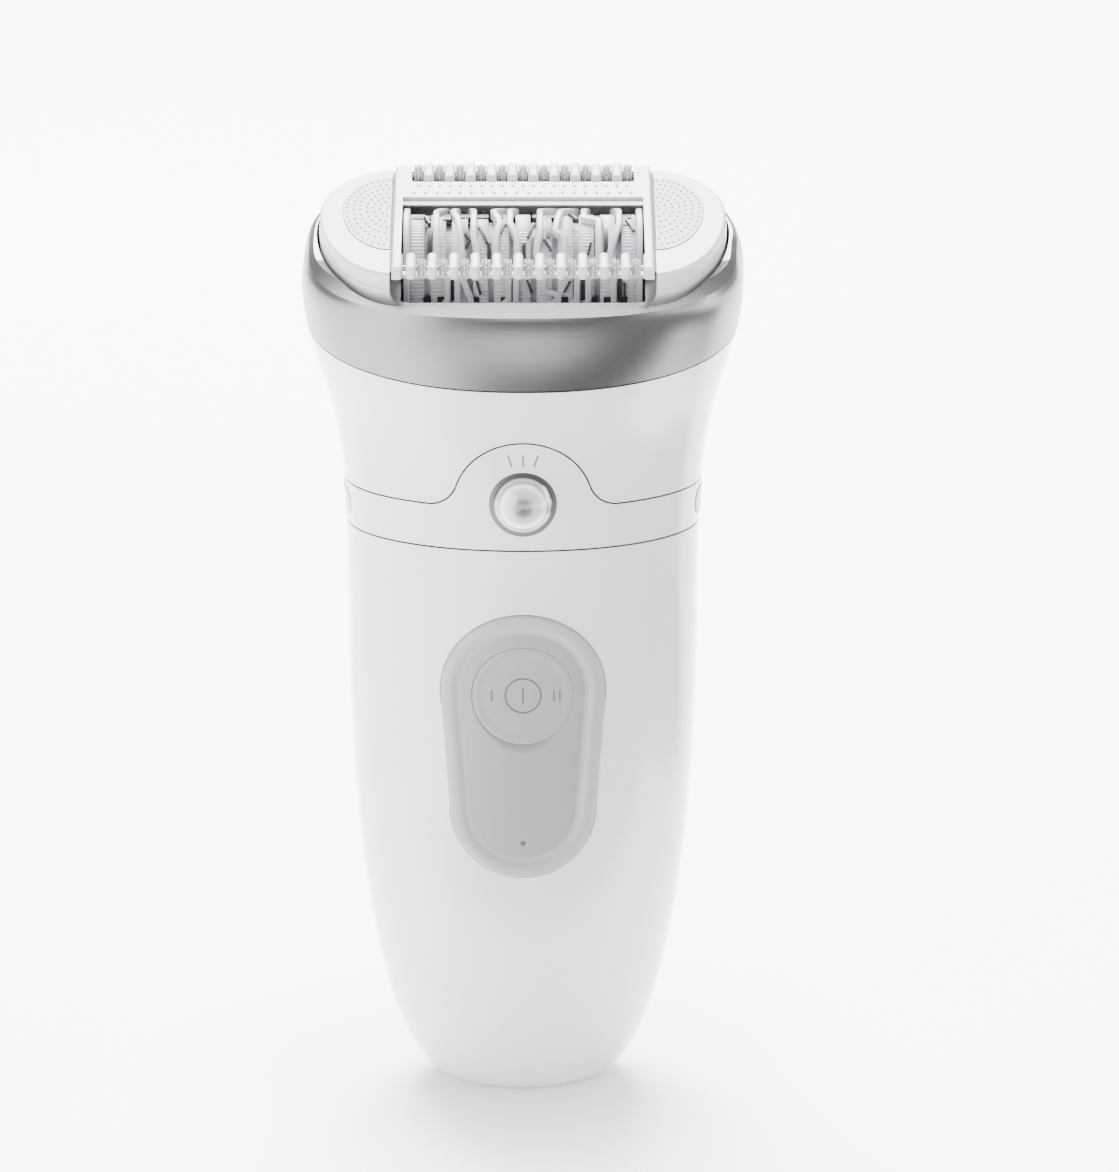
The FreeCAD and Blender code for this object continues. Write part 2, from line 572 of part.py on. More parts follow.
def lamp_lens():
    """A clear dome, round on its front, with a stem in the ring."""
    radius = 5.6
    front_y = -21.4
    dome = Part.makeSphere(radius, V(0, front_y + radius, LAMP_Z))
    return dome.common(rod(Y, V(0, -30, LAMP_Z), LAMP_R, 30 - 15.9))


def lamp_module():
    """The reflector cup, and the small board with its light-emitting chip."""
    cup = tube(Y, V(0, -15.7, LAMP_Z), 3.5, 2.6, 3.0)
    plate = box(-4.2, 4.2, -12.6, -11.8, LAMP_Z - 2.0, LAMP_Z + 4.4)
    return cup, fuse(plate, box(-1, 1, -13.4, -12.6, LAMP_Z - 1, LAMP_Z + 1))


def battery():
    cell = rod(Z, V(BATTERY_X, BATTERY_Y, BATTERY_Z0), BATTERY_R, BATTERY_Z1 - BATTERY_Z0)
    cell = cell.makeFillet(0.7, cell.Edges)
    return fuse(cell, rod(Z, V(BATTERY_X, BATTERY_Y, BATTERY_Z1), 2.7, 1.2))


def battery_tabs():
    tabs = []
    for z in (BATTERY_Z0 - 0.35, BATTERY_Z1 + 1.2):
        tabs.append(box(BATTERY_X - 2.5, BATTERY_X + 2.5, BATTERY_Y - 13.0, BATTERY_Y + 3.0, z, z + 0.3))
    return group(tabs)


def wire(points, radius, bend):
    """An insulated lead: straight runs joined by arcs."""
    edges, start = [], points[0]
    for before, corner, after in zip(points, points[1:], points[2:]):
        into, away = (corner - before).normalize(), (after - corner).normalize()
        turn = acos(max(-1, min(1, into.dot(away))))
        cut = bend * tan(turn / 2)
        first, last = corner - into * cut, corner + away * cut
        middle_dir = (away - into).normalize()
        middle = corner + middle_dir * (bend / cos(turn / 2) - bend)
        edges.append(Part.LineSegment(start, first).toShape())
        edges.append(Part.Arc(first, middle, last).toShape())
        start = last
    edges.append(Part.LineSegment(start, points[-1]).toShape())
    path = Part.Wire(edges)
    away = (points[1] - points[0]).normalize()
    profile = Part.Wire([Part.makeCircle(radius, points[0], away)])
    return path.makePipeShell([profile], True, True)


def leads():
    """Leads from the motor's tags and the charging pins to the board."""
    runs = []
    for x, z in ((-13.5, 49.0), (-5.5, 50.6)):
        top = V(x, MOTOR_Y, MOTOR_Z0)
        runs.append([top, V(x, MOTOR_Y, z), V(x * 0.75, -3, z - 3.0), V(x * 0.75, BOARD_Y1, z - 3.0)])
    for x in PIN_X:
        bends = ((PIN_Y, 17.6), (PIN_Y, 22.5), (-7.0, 30.0), (-7.0, 39.6), (BOARD_Y1, 39.6))
        runs.append([V(x, y, z) for y, z in bends])
    return group(wire(points, 0.55, 1.3) for points in runs)


# ---- head ----
def skirt(form, hollow):
    """The white lower shell of the head, with ledges for the latch and bosses for the chassis."""
    shell = form.cut(hollow).cut(under_neck(SEAM / 2)).cut(over_band(-SEAM / 2))
    ledges = body_form(WALL - 0.2, FLOOR).cut(body_form(WALL + 1.2, FLOOR))
    ledges = ledges.common(box(-BIG, BIG, -2.6, 2.6, 99.9, 101.3)).cut(box(-25.0, 25.0, -5, 5, 90, 110))
    bosses = []
    for x, y in CHASSIS_SCREWS:
        rib = box(x - 0.9, x + 0.9, min(y, 2.4 * y), max(y, 2.4 * y), 101.4, 104.0)
        bosses += [rod(Z, V(x, y, 101.4), 2.2, 2.6), rib.common(body_form(WALL - 0.3, FLOOR))]
    holes = [rod(Z, V(x, y, 101.8), 0.85, 3) for x, y in CHASSIS_SCREWS]
    return fuse(shell, ledges, *bosses).cut(group(holes))


def band(form, hollow):
    """The satin metal band, with its rim sloping up to the opening that the pod stands in."""
    shell = form.common(over_band(SEAM / 2)).cut(hollow)
    edges = ((RIM_Z, RIM_HALF_WIDTH, RIM_HALF_DEPTH), (LIP_Z, LIP_HALF_WIDTH, LIP_HALF_DEPTH))
    lip = [section(0, z, 0, half_width, half_depth, RIM_SQUARENESS) for z, half_width, half_depth in edges]
    shell = fuse(shell, head_place(Part.makeLoft(lip, True, True)))
    opening = oblong(OPEN_HALF_WIDTH, OPEN_FRONT, OPEN_BACK, RIM_Z - 1.8, 6, OPEN_STRAIGHT)
    return shell.cut(head_place(opening))


def join_ring(outer, inner):
    """The hidden ring that the band and the skirt are fixed to."""
    return outer.cut(inner).common(head_place(slab(-BAND_DROP - 4.0, -BAND_DROP + 1.5)))


def along(start, end, half_width, x0, x1):
    """A flat bar between two points of the YZ plane, from x0 to x1."""
    run = V(0, end.y - start.y, end.z - start.z).normalize()
    side = V(0, -run.z, run.y) * half_width
    ends = ((start, side), (end, side), (end, side * -1), (start, side * -1))
    corners = [V(x0, p.y, p.z) + s for p, s in ends]
    return prism(corners, V(x1 - x0, 0, 0))


def chassis(inside):
    """The head's frame: a floor plate, two uprights for the barrel and a post for the cross shaft."""
    cross = V(0, CROSS_Y, CROSS_Z)
    solids = [inside.common(slab(104.0, 105.6)), rod(Z, V(0, 0, 105.6), 3.6, 1.6)]
    for side in (-1, 1):
        x0, x1 = sorted((side * UPRIGHT_X0, side * UPRIGHT_X1))
        solids.append(along(BARREL_AXIS, cross, 4.2, x0, x1))
        solids.append(rod(X, V(x0, BARREL_AXIS.y, BARREL_AXIS.z), 4.2, x1 - x0))
        solids.append(rod(X, V(x0, CROSS_Y, CROSS_Z), 4.2, x1 - x0))
        solids.append(box(x0, x1, -6, 6, 104.0, CROSS_Z))
    solids.append(box(-9.0, -6.4, -3.2, 3.2, 104.5, CROSS_Z))
    solids.append(rod(X, V(-9.0, CROSS_Y, CROSS_Z), 3.2, 2.6))
    whole = fuse(*solids)
    cuts = [rod(Z, V(0, 0, 100), 2.6, 10)]
    for side in (-1, 1):
        mouth = min(side * UPRIGHT_X0, side * 25.6)
        cuts.append(rod(X, V(mouth, BARREL_AXIS.y, BARREL_AXIS.z), 2.3, 1.6))
        cuts.append(rod(X, V(side * 26.4 - 1.0, BARREL_AXIS.y, BARREL_AXIS.z), 1.0, 2.0))
    cuts.append(rod(X, V(UPRIGHT_X0, CROSS_Y, CROSS_Z), 2.3, 1.6))
    cuts.append(rod(X, V(-9.5, CROSS_Y, CROSS_Z), 2.3, 4))
    cuts.append(rod(X, V(UPRIGHT_X0 - 1, IDLER_AXIS.y, IDLER_AXIS.z), 1.0, 3.0))
    cuts += [rod(Z, V(x, y, 100), 1.0, 8) for x, y in CHASSIS_SCREWS]
    return whole.cut(group(cuts)).common(inside)


IDLER_GAP = (BARREL_TEETH + IDLER_TEETH) * MODULE / 2
BARREL_TO_CROSS = V(0, CROSS_Y - BARREL_AXIS.y, CROSS_Z - BARREL_AXIS.z)
IDLER_AXIS = BARREL_AXIS + BARREL_TO_CROSS * (IDLER_GAP / BARREL_TO_CROSS.Length)
DOWN_ANGLE = atan2(BARREL_TO_CROSS.z, BARREL_TO_CROSS.y)


def head_bushes():
    """Bushes for the barrel, the cross shaft and the input shaft."""
    rings = [tube(X, V(x, BARREL_AXIS.y, BARREL_AXIS.z), 2.3, 1.25 + RUN, 1.6) for x in (-25.6, UPRIGHT_X0)]
    places = ((-9.0, 2.6), (UPRIGHT_X0, 1.6))
    rings += [tube(X, V(x, CROSS_Y, CROSS_Z), 2.3, SHAFT_R + RUN, w) for x, w in places]
    rings.append(tube(Z, V(0, 0, 104.0), 2.6, SHAFT_R + RUN, 3.2))
    return group(rings)


def pivot_pins():
    """The steel pins that the pod rocks on."""
    y, z = BARREL_AXIS.y, BARREL_AXIS.z
    return group(rod(X, V(min(s * 25.75, s * 28.6), y, z), 1.0, 2.85) for s in (-1, 1))


def idler_pin():
    return rod(X, V(20.3, IDLER_AXIS.y, IDLER_AXIS.z), 1.0, 5.6)


def x_gear(teeth, bore, at, phase):
    return to_x_axis(spur_gear(teeth, bore, GEAR_X1 - GEAR_X0, phase), GEAR_X0, at.y, at.z)


def input_shaft():
    """The vertical shaft: a hexagonal socket over the handle's drive, and a journal."""
    cup = rod(Z, V(0, 0, 98.3), 3.0, 5.4).cut(hexagon(3.3, 98.0, 102.2))
    return fuse(cup, rod(Z, V(0, 0, 103.0), SHAFT_R, CROSS_Z - 3.7 - 103.0))


def bevel_pinion():
    gear = bevel_gear(PINION_TEETH, BEVEL_TEETH, SHAFT_R, 0.4, 0)
    gear.translate(V(0, CROSS_Y, CROSS_Z))
    return gear


def bevel_wheel():
    """About +X, with its teeth facing the vertical pinion and a gap at its lowest point."""
    gear = bevel_gear(BEVEL_TEETH, PINION_TEETH, SHAFT_R, 1.2, pi / BEVEL_TEETH)
    gear.rotate(V(0, 0, 0), Y, -90)
    gear.translate(V(0, CROSS_Y, CROSS_Z))
    return gear


def cross_shaft():
    return rod(X, V(-9.4, CROSS_Y, CROSS_Z), SHAFT_R, 25.4 + 9.4)


# ---- barrel, in the row frame about the barrel's axis ----
def barrel_ring(x, outer, width):
    return tube(X, V(x, BARREL_AXIS.y, BARREL_AXIS.z), outer, 1.25, width)


def barrel_segments():
    """The ribbed drum between the tweezer plates."""
    width = BARREL_PITCH - DISC_WIDTH - 2 * PLATE_WIDTH
    start = -BARREL_HALF + DISC_WIDTH / 2 + PLATE_WIDTH
    return group(barrel_ring(start + i * BARREL_PITCH, DRUM_R, width) for i in range(SEGMENT_COUNT))


def closing_discs():
    """The white discs whose arms press the tweezer plates together."""
    first = -BARREL_HALF - DISC_WIDTH / 2
    starts = [first + i * BARREL_PITCH for i in range(SEGMENT_COUNT + 1)]
    return group(barrel_ring(x, BARREL_R, DISC_WIDTH) for x in starts)


def tweezer_plates():
    """A thin steel plate on each side of every closing disc, inside the drum's ends."""
    starts = []
    for i in range(SEGMENT_COUNT + 1):
        centre = -BARREL_HALF + i * BARREL_PITCH
        if i < SEGMENT_COUNT:
            starts.append(centre + DISC_WIDTH / 2)
        if i:
            starts.append(centre - DISC_WIDTH / 2 - PLATE_WIDTH)
    return group(barrel_ring(x, BARREL_R - 0.2, PLATE_WIDTH) for x in starts)


def barrel_axle():
    return rod(X, V(-25.4, BARREL_AXIS.y, BARREL_AXIS.z), 1.25, 50.8)


def closing_cams():
    """The fixed rings beside the barrel that push its arms shut."""
    y, z = BARREL_AXIS.y, BARREL_AXIS.z
    return group(tube(X, V(x, y, z), 6.5, 2.0, 0.35) for x in (-TROUGH_HALF - 0.35, TROUGH_HALF))


# ---- pod and cap, in the head's own frame ----
def pad_shape(side, grow, z0, z1):
    """The D-shaped end pad, cut off square beside the cap."""
    whole = oblong(PAD_X1 + grow, PAD_FRONT + grow, PAD_BACK + grow, z0, z1, PAD_X0, PAD_WIDEST)
    return whole.common(box(*sorted((side * (PAD_X0 - grow), side * 40.0)), -20, 20, z0 - 1, z1 + 1))


def pod_shell():
    """The white pod that rocks in the rim: two hollow ends joined by the walls of the barrel's trough."""
    wide, deep = POD_HALF_WIDTH + POD_STEP, POD_HALF_DEPTH + POD_STEP
    lower = oblong(wide, deep, deep, POD_BOTTOM, POD_STEP_Z)
    upper = oblong(POD_HALF_WIDTH, POD_HALF_DEPTH, POD_HALF_DEPTH, POD_STEP_Z - 1, POD_TOP)
    upper = upper.makeFillet(0.5, [e for e in upper.Edges if e.BoundBox.ZMin > POD_TOP - 0.01])
    solid = fuse(lower, upper)
    depth = POD_HALF_DEPTH - 1.6
    chamber = oblong(POD_HALF_WIDTH - 1.6, depth, depth, POD_BOTTOM - 1, 1.0)
    ends = [chamber.common(box(*sorted((s * POD_WALL_X, s * 40.0)), -20, 20, -20, 20)) for s in (-1, 1)]
    trough = rod(X, V(-TROUGH_HALF, BARREL_Y, BARREL_Z), TROUGH_R, 2 * TROUGH_HALF)
    front_room = box(-TROUGH_HALF, TROUGH_HALF, -14.8, BARREL_Y, POD_BOTTOM - 1, 3)
    open_top = box(-TROUGH_HALF, TROUGH_HALF, BARREL_Y, 9.0, BARREL_Z, 10)
    seat = box(-WINDOW_HALF, WINDOW_HALF, -20, 20, CAP_BASE, 10)
    rear_pocket = box(-17.5, 17.5, REAR_ROLL_Y - 1.9, REAR_ROLL_Y + 1.9, 1.9, 4)
    axle_hole = rod(X, V(-22, BARREL_Y, BARREL_Z), 1.7, 44)
    solid = cut_all(solid, [*ends, trough, window(), front_room, open_top, seat, rear_pocket, axle_hole])
    recesses = [rod(X, V(x, BARREL_Y, BARREL_Z), 6.55, 0.35) for x in (-TROUGH_HALF - 0.35, TROUGH_HALF)]
    solid = cut_all(solid, recesses + [pad_shape(s, 0.05, POD_TOP - 0.8, POD_TOP + 1) for s in (-1, 1)])
    bosses = [rod(X, V(min(s * 27.3, s * 29.2), BARREL_Y, BARREL_Z), 2.4, 1.9) for s in (-1, 1)]
    pin_holes = [rod(X, V(min(s * 27.0, s * 28.75), BARREL_Y, BARREL_Z), 1.0 + RUN, 1.75) for s in (-1, 1)]
    return fuse(solid, *bosses).cut(group(pin_holes))


def window():
    """The opening in the pod's front wall, with rounded lower corners and a post beside each barrel end."""
    opening = box(-WINDOW_HALF, WINDOW_HALF, -20, BARREL_Y, WINDOW_Z, 10)
    low = [e for e in opening.Edges if e.BoundBox.ZMax < WINDOW_Z + 0.1 and abs(e.tangentAt(0).y) > 0.9]
    opening = opening.makeFillet(WINDOW_R, low)
    for side in (-1, 1):
        keep = sorted((side * TROUGH_HALF, side * POD_WALL_X))
        opening = opening.cut(box(*keep, -9.0, 5, WINDOW_Z - 1, CAP_BASE))
    return opening


def end_pads():
    """The textured soft pads on the pod's ends."""
    return group(pad_shape(s, -0.05, POD_TOP - 0.75, POD_TOP + 0.12) for s in (-1, 1))


def fingers(first_x, count, half_width, y0, y1, z0, z1, web):
    """A row of rounded blocks between the rolls, each with a web down to the row's bar."""
    blocks = []
    for i in range(count):
        x = first_x + i * ROLL_PITCH
        block = box(x - half_width, x + half_width, y0, y1, z0, z1)
        block = block.makeFillet(0.55, block.Edges)
        blocks.append(block.fuse(box(x - half_width + 0.1, x + half_width - 0.1, *web)))
    return blocks


def roll_notch(y, z, first_x, x_pad):
    """One slot along the bar, in which the rolls turn."""
    radius, x0 = ROLL_R + 0.15, first_x - ROLL_WIDTH / 2 - x_pad
    length = (ROLL_COUNT - 1) * ROLL_PITCH + ROLL_WIDTH + 2 * x_pad
    return rod(X, V(x0, y, z), radius, length).fuse(box(x0, x0 + length, y - radius, y + radius, z, z + 8))


def cap_frame():
    """The lift-off massage cap: a plate with the barrel's opening and two rows of fingers."""
    plate = box(-CAP_HALF, CAP_HALF, CAP_FRONT, CAP_BACK, CAP_BASE + 0.05, CAP_TOP)
    plate = plate.makeFillet(0.4, [e for e in plate.Edges if e.BoundBox.ZMin > CAP_TOP - 0.01])
    half = CAP_OPEN_HALF
    opening = box(-half, half, -30, CAP_OPEN_BACK, -1, 10)
    rear_step = box(-16.75, 16.75, 10.4, 20, 3.4, 10)
    strip = box(-half - 0.5, half + 0.5, STRIP_Y0, STRIP_Y1, STRIP_Z0, STRIP_Z1)
    bar_y0, bar_y1 = -12.8, -11.0
    bar = box(-CAP_HALF, CAP_HALF, bar_y0, bar_y1, 0.9, 1.45)
    ends = [box(*sorted((s * half, s * CAP_HALF)), bar_y0, bar_y1, 0.9, 3.0) for s in (-1, 1)]
    body = fuse(cut_all(plate, [opening, rear_step]), strip, bar, *ends)
    turning = rod(X, V(-half, BARREL_Y, BARREL_Z), BARREL_R + 0.3, 2 * half)
    body = cut_all(body, [turning, roll_notch(REAR_ROLL_Y, REAR_ROLL_Z, REAR_ROLL_X0, 0.25)])
    front_web = (bar_y0, bar_y1, 1.0, 3.2)
    rear_web = (REAR_ROLL_Y - 2.6, CAP_BACK - 0.05, CAP_BASE + 0.1, 3.9)
    rows = fingers(FRONT_ROLL_X0 - ROLL_PITCH / 2, ROLL_COUNT, FINGER_HALF, -15.9, -11.0, 2.2, 4.4, front_web)
    rear_x0, rear_half = REAR_ROLL_X0 + ROLL_PITCH / 2, FINGER_HALF + 0.08
    rows += fingers(rear_x0, ROLL_COUNT - 1, rear_half, 11.1, CAP_BACK, 3.3, 4.8, rear_web)
    leg_x = CAP_HALF - LEG_BLOCK_HALF
    for x in (-leg_x, leg_x):
        rows += fingers(x, 1, LEG_BLOCK_HALF, -15.9, -11.0, 2.2, 4.4, front_web)
    return fuse(body, *rows).cut(group(roll_wires()))


def roll_wires():
    y_z = ((FRONT_ROLL_Y, FRONT_ROLL_Z), (REAR_ROLL_Y, REAR_ROLL_Z))
    return [rod(X, V(-18.4, y, z), WIRE_R, 36.8) for y, z in y_z]


def rolls(row_y, row_z, first_x):
    """Ribbed massage rolls, each with three raised rings."""
    shapes = []
    for i in range(ROLL_COUNT):
        start = first_x + i * ROLL_PITCH - ROLL_WIDTH / 2
        radii = (ROLL_R, ROLL_R - 0.45, ROLL_R - 0.1, ROLL_R - 0.45, ROLL_R)
        width = ROLL_WIDTH / len(radii)
        rings = [rod(X, V(start + k * width, row_y, row_z), r, width) for k, r in enumerate(radii)]
        shapes.append(fuse(*rings).cut(rod(X, V(start - 1, row_y, row_z), WIRE_R + RUN, ROLL_WIDTH + 2)))
    return group(shapes)


def save(name, shape):
    shape.exportStep(os.path.join(PARTS, name + ".step"))
    print(f"{name}: {len(shape.Solids)} solids, {shape.Volume:.0f} mm3, valid {shape.isValid()}")


def main():
    os.makedirs(PARTS, exist_ok=True)
    form = body_form()
    hollow = body_form(WALL, FLOOR).cut(head_place(slab(RIM_Z - 1.6, BIG)))
    pad_bed = body_form(PAD_SEAT)
    inside = body_form(WALL + 0.3, FLOOR)

    save("front_shell", front_shell(form, hollow, pad_bed))
    save("rear_shell", rear_shell(form, hollow))
    save("collar", collar(form, hollow))
    save("neck_deck", neck_deck(body_form(WALL + 0.02, FLOOR)))
    save("neck_seal", neck_seal())
    save("gear_plate", gear_plate(body_form(WALL + 0.6, FLOOR)))
    save("switch_pad", grip_pad(body_form(-PAD_PROUD), body_form(PAD_FLOOR), pad_bed))
    save("power_button", power_button(body_form(PAD_FLOOR - 0.05)))
    save("charge_lamp", charge_lamp(body_form(PAD_FLOOR)))
    save("circuit_board", board())
    save("board_components", board_parts())
    board_screws = [screw(Y, V(x, BOARD_Y1, z), 1.7, 1.1, 0.8, 4.0) for x, z in BOARD_SCREWS]
    save("board_screws", group(board_screws))
    save("tact_switch", tact_switch())
    save("battery_cell", battery())
    save("battery_tabs", battery_tabs())
    save("charge_socket", charge_socket())
    save("charge_pins", charge_pins())
    save("leads", leads())

    save("lamp_ring", lamp_ring(form.common(slab(80, 115))))
    save("lamp_lens", lamp_lens())
    for name, shape in zip(("lamp_reflector", "lamp_board"), lamp_module()):
        save(name, shape)
    proud = body_form(-0.15)
    for name, side in (("left", -1), ("right", 1)):
        save(f"{name}_release_button", release_button(side, proud))
    save("release_springs", group(release_spring(side) for side in (-1, 1)))

    save("motor", motor_can())
    motor_at = V(MOTOR_X, MOTOR_Y, 0)
    save("motor_shaft", rod(Z, motor_at + Z * (MOTOR_Z1 - 5), 1.0, 91.0 - MOTOR_Z1 + 5))
    to_output = atan2(-MOTOR_Y, -MOTOR_X)
    pinion = spur_gear(MOTOR_TEETH, 1.0, SPUR_Z1 - SPUR_Z0, to_output)
    pinion.translate(motor_at + Z * SPUR_Z0)
    save("motor_pinion", pinion)
    wheel = spur_gear(OUTPUT_TEETH, SHAFT_R, SPUR_Z1 - SPUR_Z0, to_output + pi + pi / OUTPUT_TEETH)
    wheel.translate(V(0, 0, SPUR_Z0))
    save("output_gear", wheel)
    save("output_shaft", output_shaft())
    save("output_bushes", group([
        tube(Z, V(0, 0, 84.4), 2.6, SHAFT_R + RUN, 1.8),
        tube(Z, V(0, 0, DECK_Z0), 2.6, SHAFT_R + RUN, DECK_Z1 - DECK_Z0 + 1.4),
    ]))
    motor_screws = [screw(Z, motor_at + V(x, 0, 86.2), 1.6, 1.0, 0.8, 4.5) for x in (-6.0, 6.0)]
    save("motor_screws", group(motor_screws))
    save("deck_screws", group(screw(Z, V(x, y, DECK_Z1), 1.8, 1.1, 0.8, 8.0) for x, y in DECK_SCREWS))

    save("head_skirt", skirt(form, hollow))
    save("head_band", band(form, hollow))
    save("band_ring", join_ring(body_form(WALL + 0.03, FLOOR), body_form(WALL + 1.4, FLOOR)))
    save("head_chassis", chassis(inside))
    save("head_bushes", head_bushes())
    save("chassis_screws", group(screw(Z, V(x, y, 105.6), 1.7, 1.1, 0.85, 1.6) for x, y in CHASSIS_SCREWS))
    save("pivot_pins", pivot_pins())
    save("idler_pin", idler_pin())
    save("input_shaft", input_shaft())
    save("bevel_pinion", bevel_pinion())
    save("cross_shaft", cross_shaft())
    save("bevel_wheel", bevel_wheel())
    save("cross_gear", x_gear(CROSS_TEETH, SHAFT_R, V(0, CROSS_Y, CROSS_Z), DOWN_ANGLE + pi))
    save("idler_gear", x_gear(IDLER_TEETH, 1.0 + RUN, IDLER_AXIS, DOWN_ANGLE + pi / IDLER_TEETH))
    save("barrel_gear", x_gear(BARREL_TEETH, 1.25, BARREL_AXIS, DOWN_ANGLE))

    save("barrel_segments", barrel_segments())
    save("closing_discs", closing_discs())
    save("tweezer_plates", tweezer_plates())
    save("barrel_axle", barrel_axle())
    save("closing_cams", closing_cams())

    save("pod_shell", head_place(pod_shell()))
    save("end_pads", head_place(end_pads()))
    save("massage_cap", head_place(cap_frame()))
    save("roll_wires", head_place(group(roll_wires())))
    save("front_rolls", head_place(rolls(FRONT_ROLL_Y, FRONT_ROLL_Z, FRONT_ROLL_X0)))
    save("rear_rolls", head_place(rolls(REAR_ROLL_Y, REAR_ROLL_Z, REAR_ROLL_X0)))


main()
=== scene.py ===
"""Looks for a hand-held epilator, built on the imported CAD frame. Metres, +Z up, -Y is the front."""

from math import atan2, cos, pi, radians, sin, sqrt

import bmesh
import bpy
from mathutils import Matrix, Vector


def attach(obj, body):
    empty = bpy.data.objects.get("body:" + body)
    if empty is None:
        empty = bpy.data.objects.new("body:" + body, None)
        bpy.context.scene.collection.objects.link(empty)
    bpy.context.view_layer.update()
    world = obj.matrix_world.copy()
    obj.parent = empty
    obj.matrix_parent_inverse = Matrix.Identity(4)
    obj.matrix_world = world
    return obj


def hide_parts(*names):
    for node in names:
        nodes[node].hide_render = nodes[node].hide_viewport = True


MM = 0.001
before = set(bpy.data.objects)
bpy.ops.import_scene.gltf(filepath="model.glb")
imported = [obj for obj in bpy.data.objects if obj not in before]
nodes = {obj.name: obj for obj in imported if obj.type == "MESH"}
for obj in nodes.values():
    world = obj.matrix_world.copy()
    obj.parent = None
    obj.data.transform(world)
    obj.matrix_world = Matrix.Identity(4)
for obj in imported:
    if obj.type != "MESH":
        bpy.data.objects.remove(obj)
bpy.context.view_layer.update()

# ---- the head's own frame, as in the CAD ----
TILT = radians(16.0)
HEAD = Vector((0, -4.48, 135.37))
HEAD_MATRIX = Matrix.Translation(HEAD * MM) @ Matrix.Rotation(TILT, 4, "X")
BARREL_Y, BARREL_Z = -0.5, -5.4


def head_point(x, y, z):
    """A point of the head's own frame in millimetres, as a row-frame point in metres."""
    return HEAD_MATRIX @ Vector((x * MM, y * MM, z * MM))


# ---- the handle's outer form, as in the CAD ----
GRIP_TOP = 80.0
SQUARENESS = 2.05
FLOOR_INSET = 0.3  # how far the switch pad's floor and the button stand in from the shell


def grip_front(x, z, inset=0.0):
    """y of the handle's front surface in millimetres, at x and z, for z below the collar."""
    rise = 1 - (1 - min(z / GRIP_TOP, 1)) ** 2.3
    half_width = 10.0 + 16.8 * rise**0.44 - inset
    front = 7.5 + 11.5 * rise**0.5
    back = 8.0 + 10.7 * rise**0.5
    half_depth = (front + back) / 2 - inset
    share = max(0.0, 1 - (abs(x) / half_width) ** SQUARENESS)
    return (back - front) / 2 - half_depth * share ** (1 / SQUARENESS)


def on_grip(x, z, out=0.0):
    """A point on the pad's floor in metres, moved out of it by a distance in millimetres."""
    return Vector((x, grip_front(x, z, FLOOR_INSET) - out, z)) * MM


# ---- materials ----
def material(name, colour, rough, metal=0.0, coat=0.0, bump=None, stain=None, **inputs):
    """A Principled material. bump is (noise scale, strength, stretch), stain is (scale, amount)."""
    mat = bpy.data.materials.new(name)
    mat.use_nodes = True
    tree = mat.node_tree
    shader = tree.nodes["Principled BSDF"]
    shader.inputs["Base Color"].default_value = (*colour, 1)
    shader.inputs["Roughness"].default_value = rough
    shader.inputs["Metallic"].default_value = metal
    shader.inputs["Coat Weight"].default_value = coat
    for key, value in inputs.items():
        shader.inputs[key.replace("_", " ")].default_value = value
    where = tree.nodes.new("ShaderNodeTexCoord")
    if bump:
        scale, strength, stretch = bump
        spread = tree.nodes.new("ShaderNodeMapping")
        spread.inputs["Scale"].default_value = stretch
        noise = tree.nodes.new("ShaderNodeTexNoise")
        noise.inputs["Scale"].default_value = scale
        noise.inputs["Detail"].default_value = 4
        relief = tree.nodes.new("ShaderNodeBump")
        relief.inputs["Strength"].default_value = strength
        relief.inputs["Distance"].default_value = 0.0001
        tree.links.new(where.outputs["Object"], spread.inputs["Vector"])
        tree.links.new(spread.outputs["Vector"], noise.inputs["Vector"])
        tree.links.new(noise.outputs["Fac"], relief.inputs["Height"])
        tree.links.new(relief.outputs["Normal"], shader.inputs["Normal"])
    if stain:
        scale, amount = stain
        cloud = tree.nodes.new("ShaderNodeTexNoise")
        cloud.inputs["Scale"].default_value = scale
        ramp = tree.nodes.new("ShaderNodeValToRGB")
        ramp.color_ramp.elements[0].color = (*[c * (1 - amount) for c in colour], 1)
        ramp.color_ramp.elements[1].color = (*[min(1, c * (1 + amount)) for c in colour], 1)
        tree.links.new(where.outputs["Object"], cloud.inputs["Vector"])
        tree.links.new(cloud.outputs["Fac"], ramp.inputs["Fac"])
        tree.links.new(ramp.outputs["Color"], shader.inputs["Base Color"])
    return mat


EVEN = (1, 1, 1)
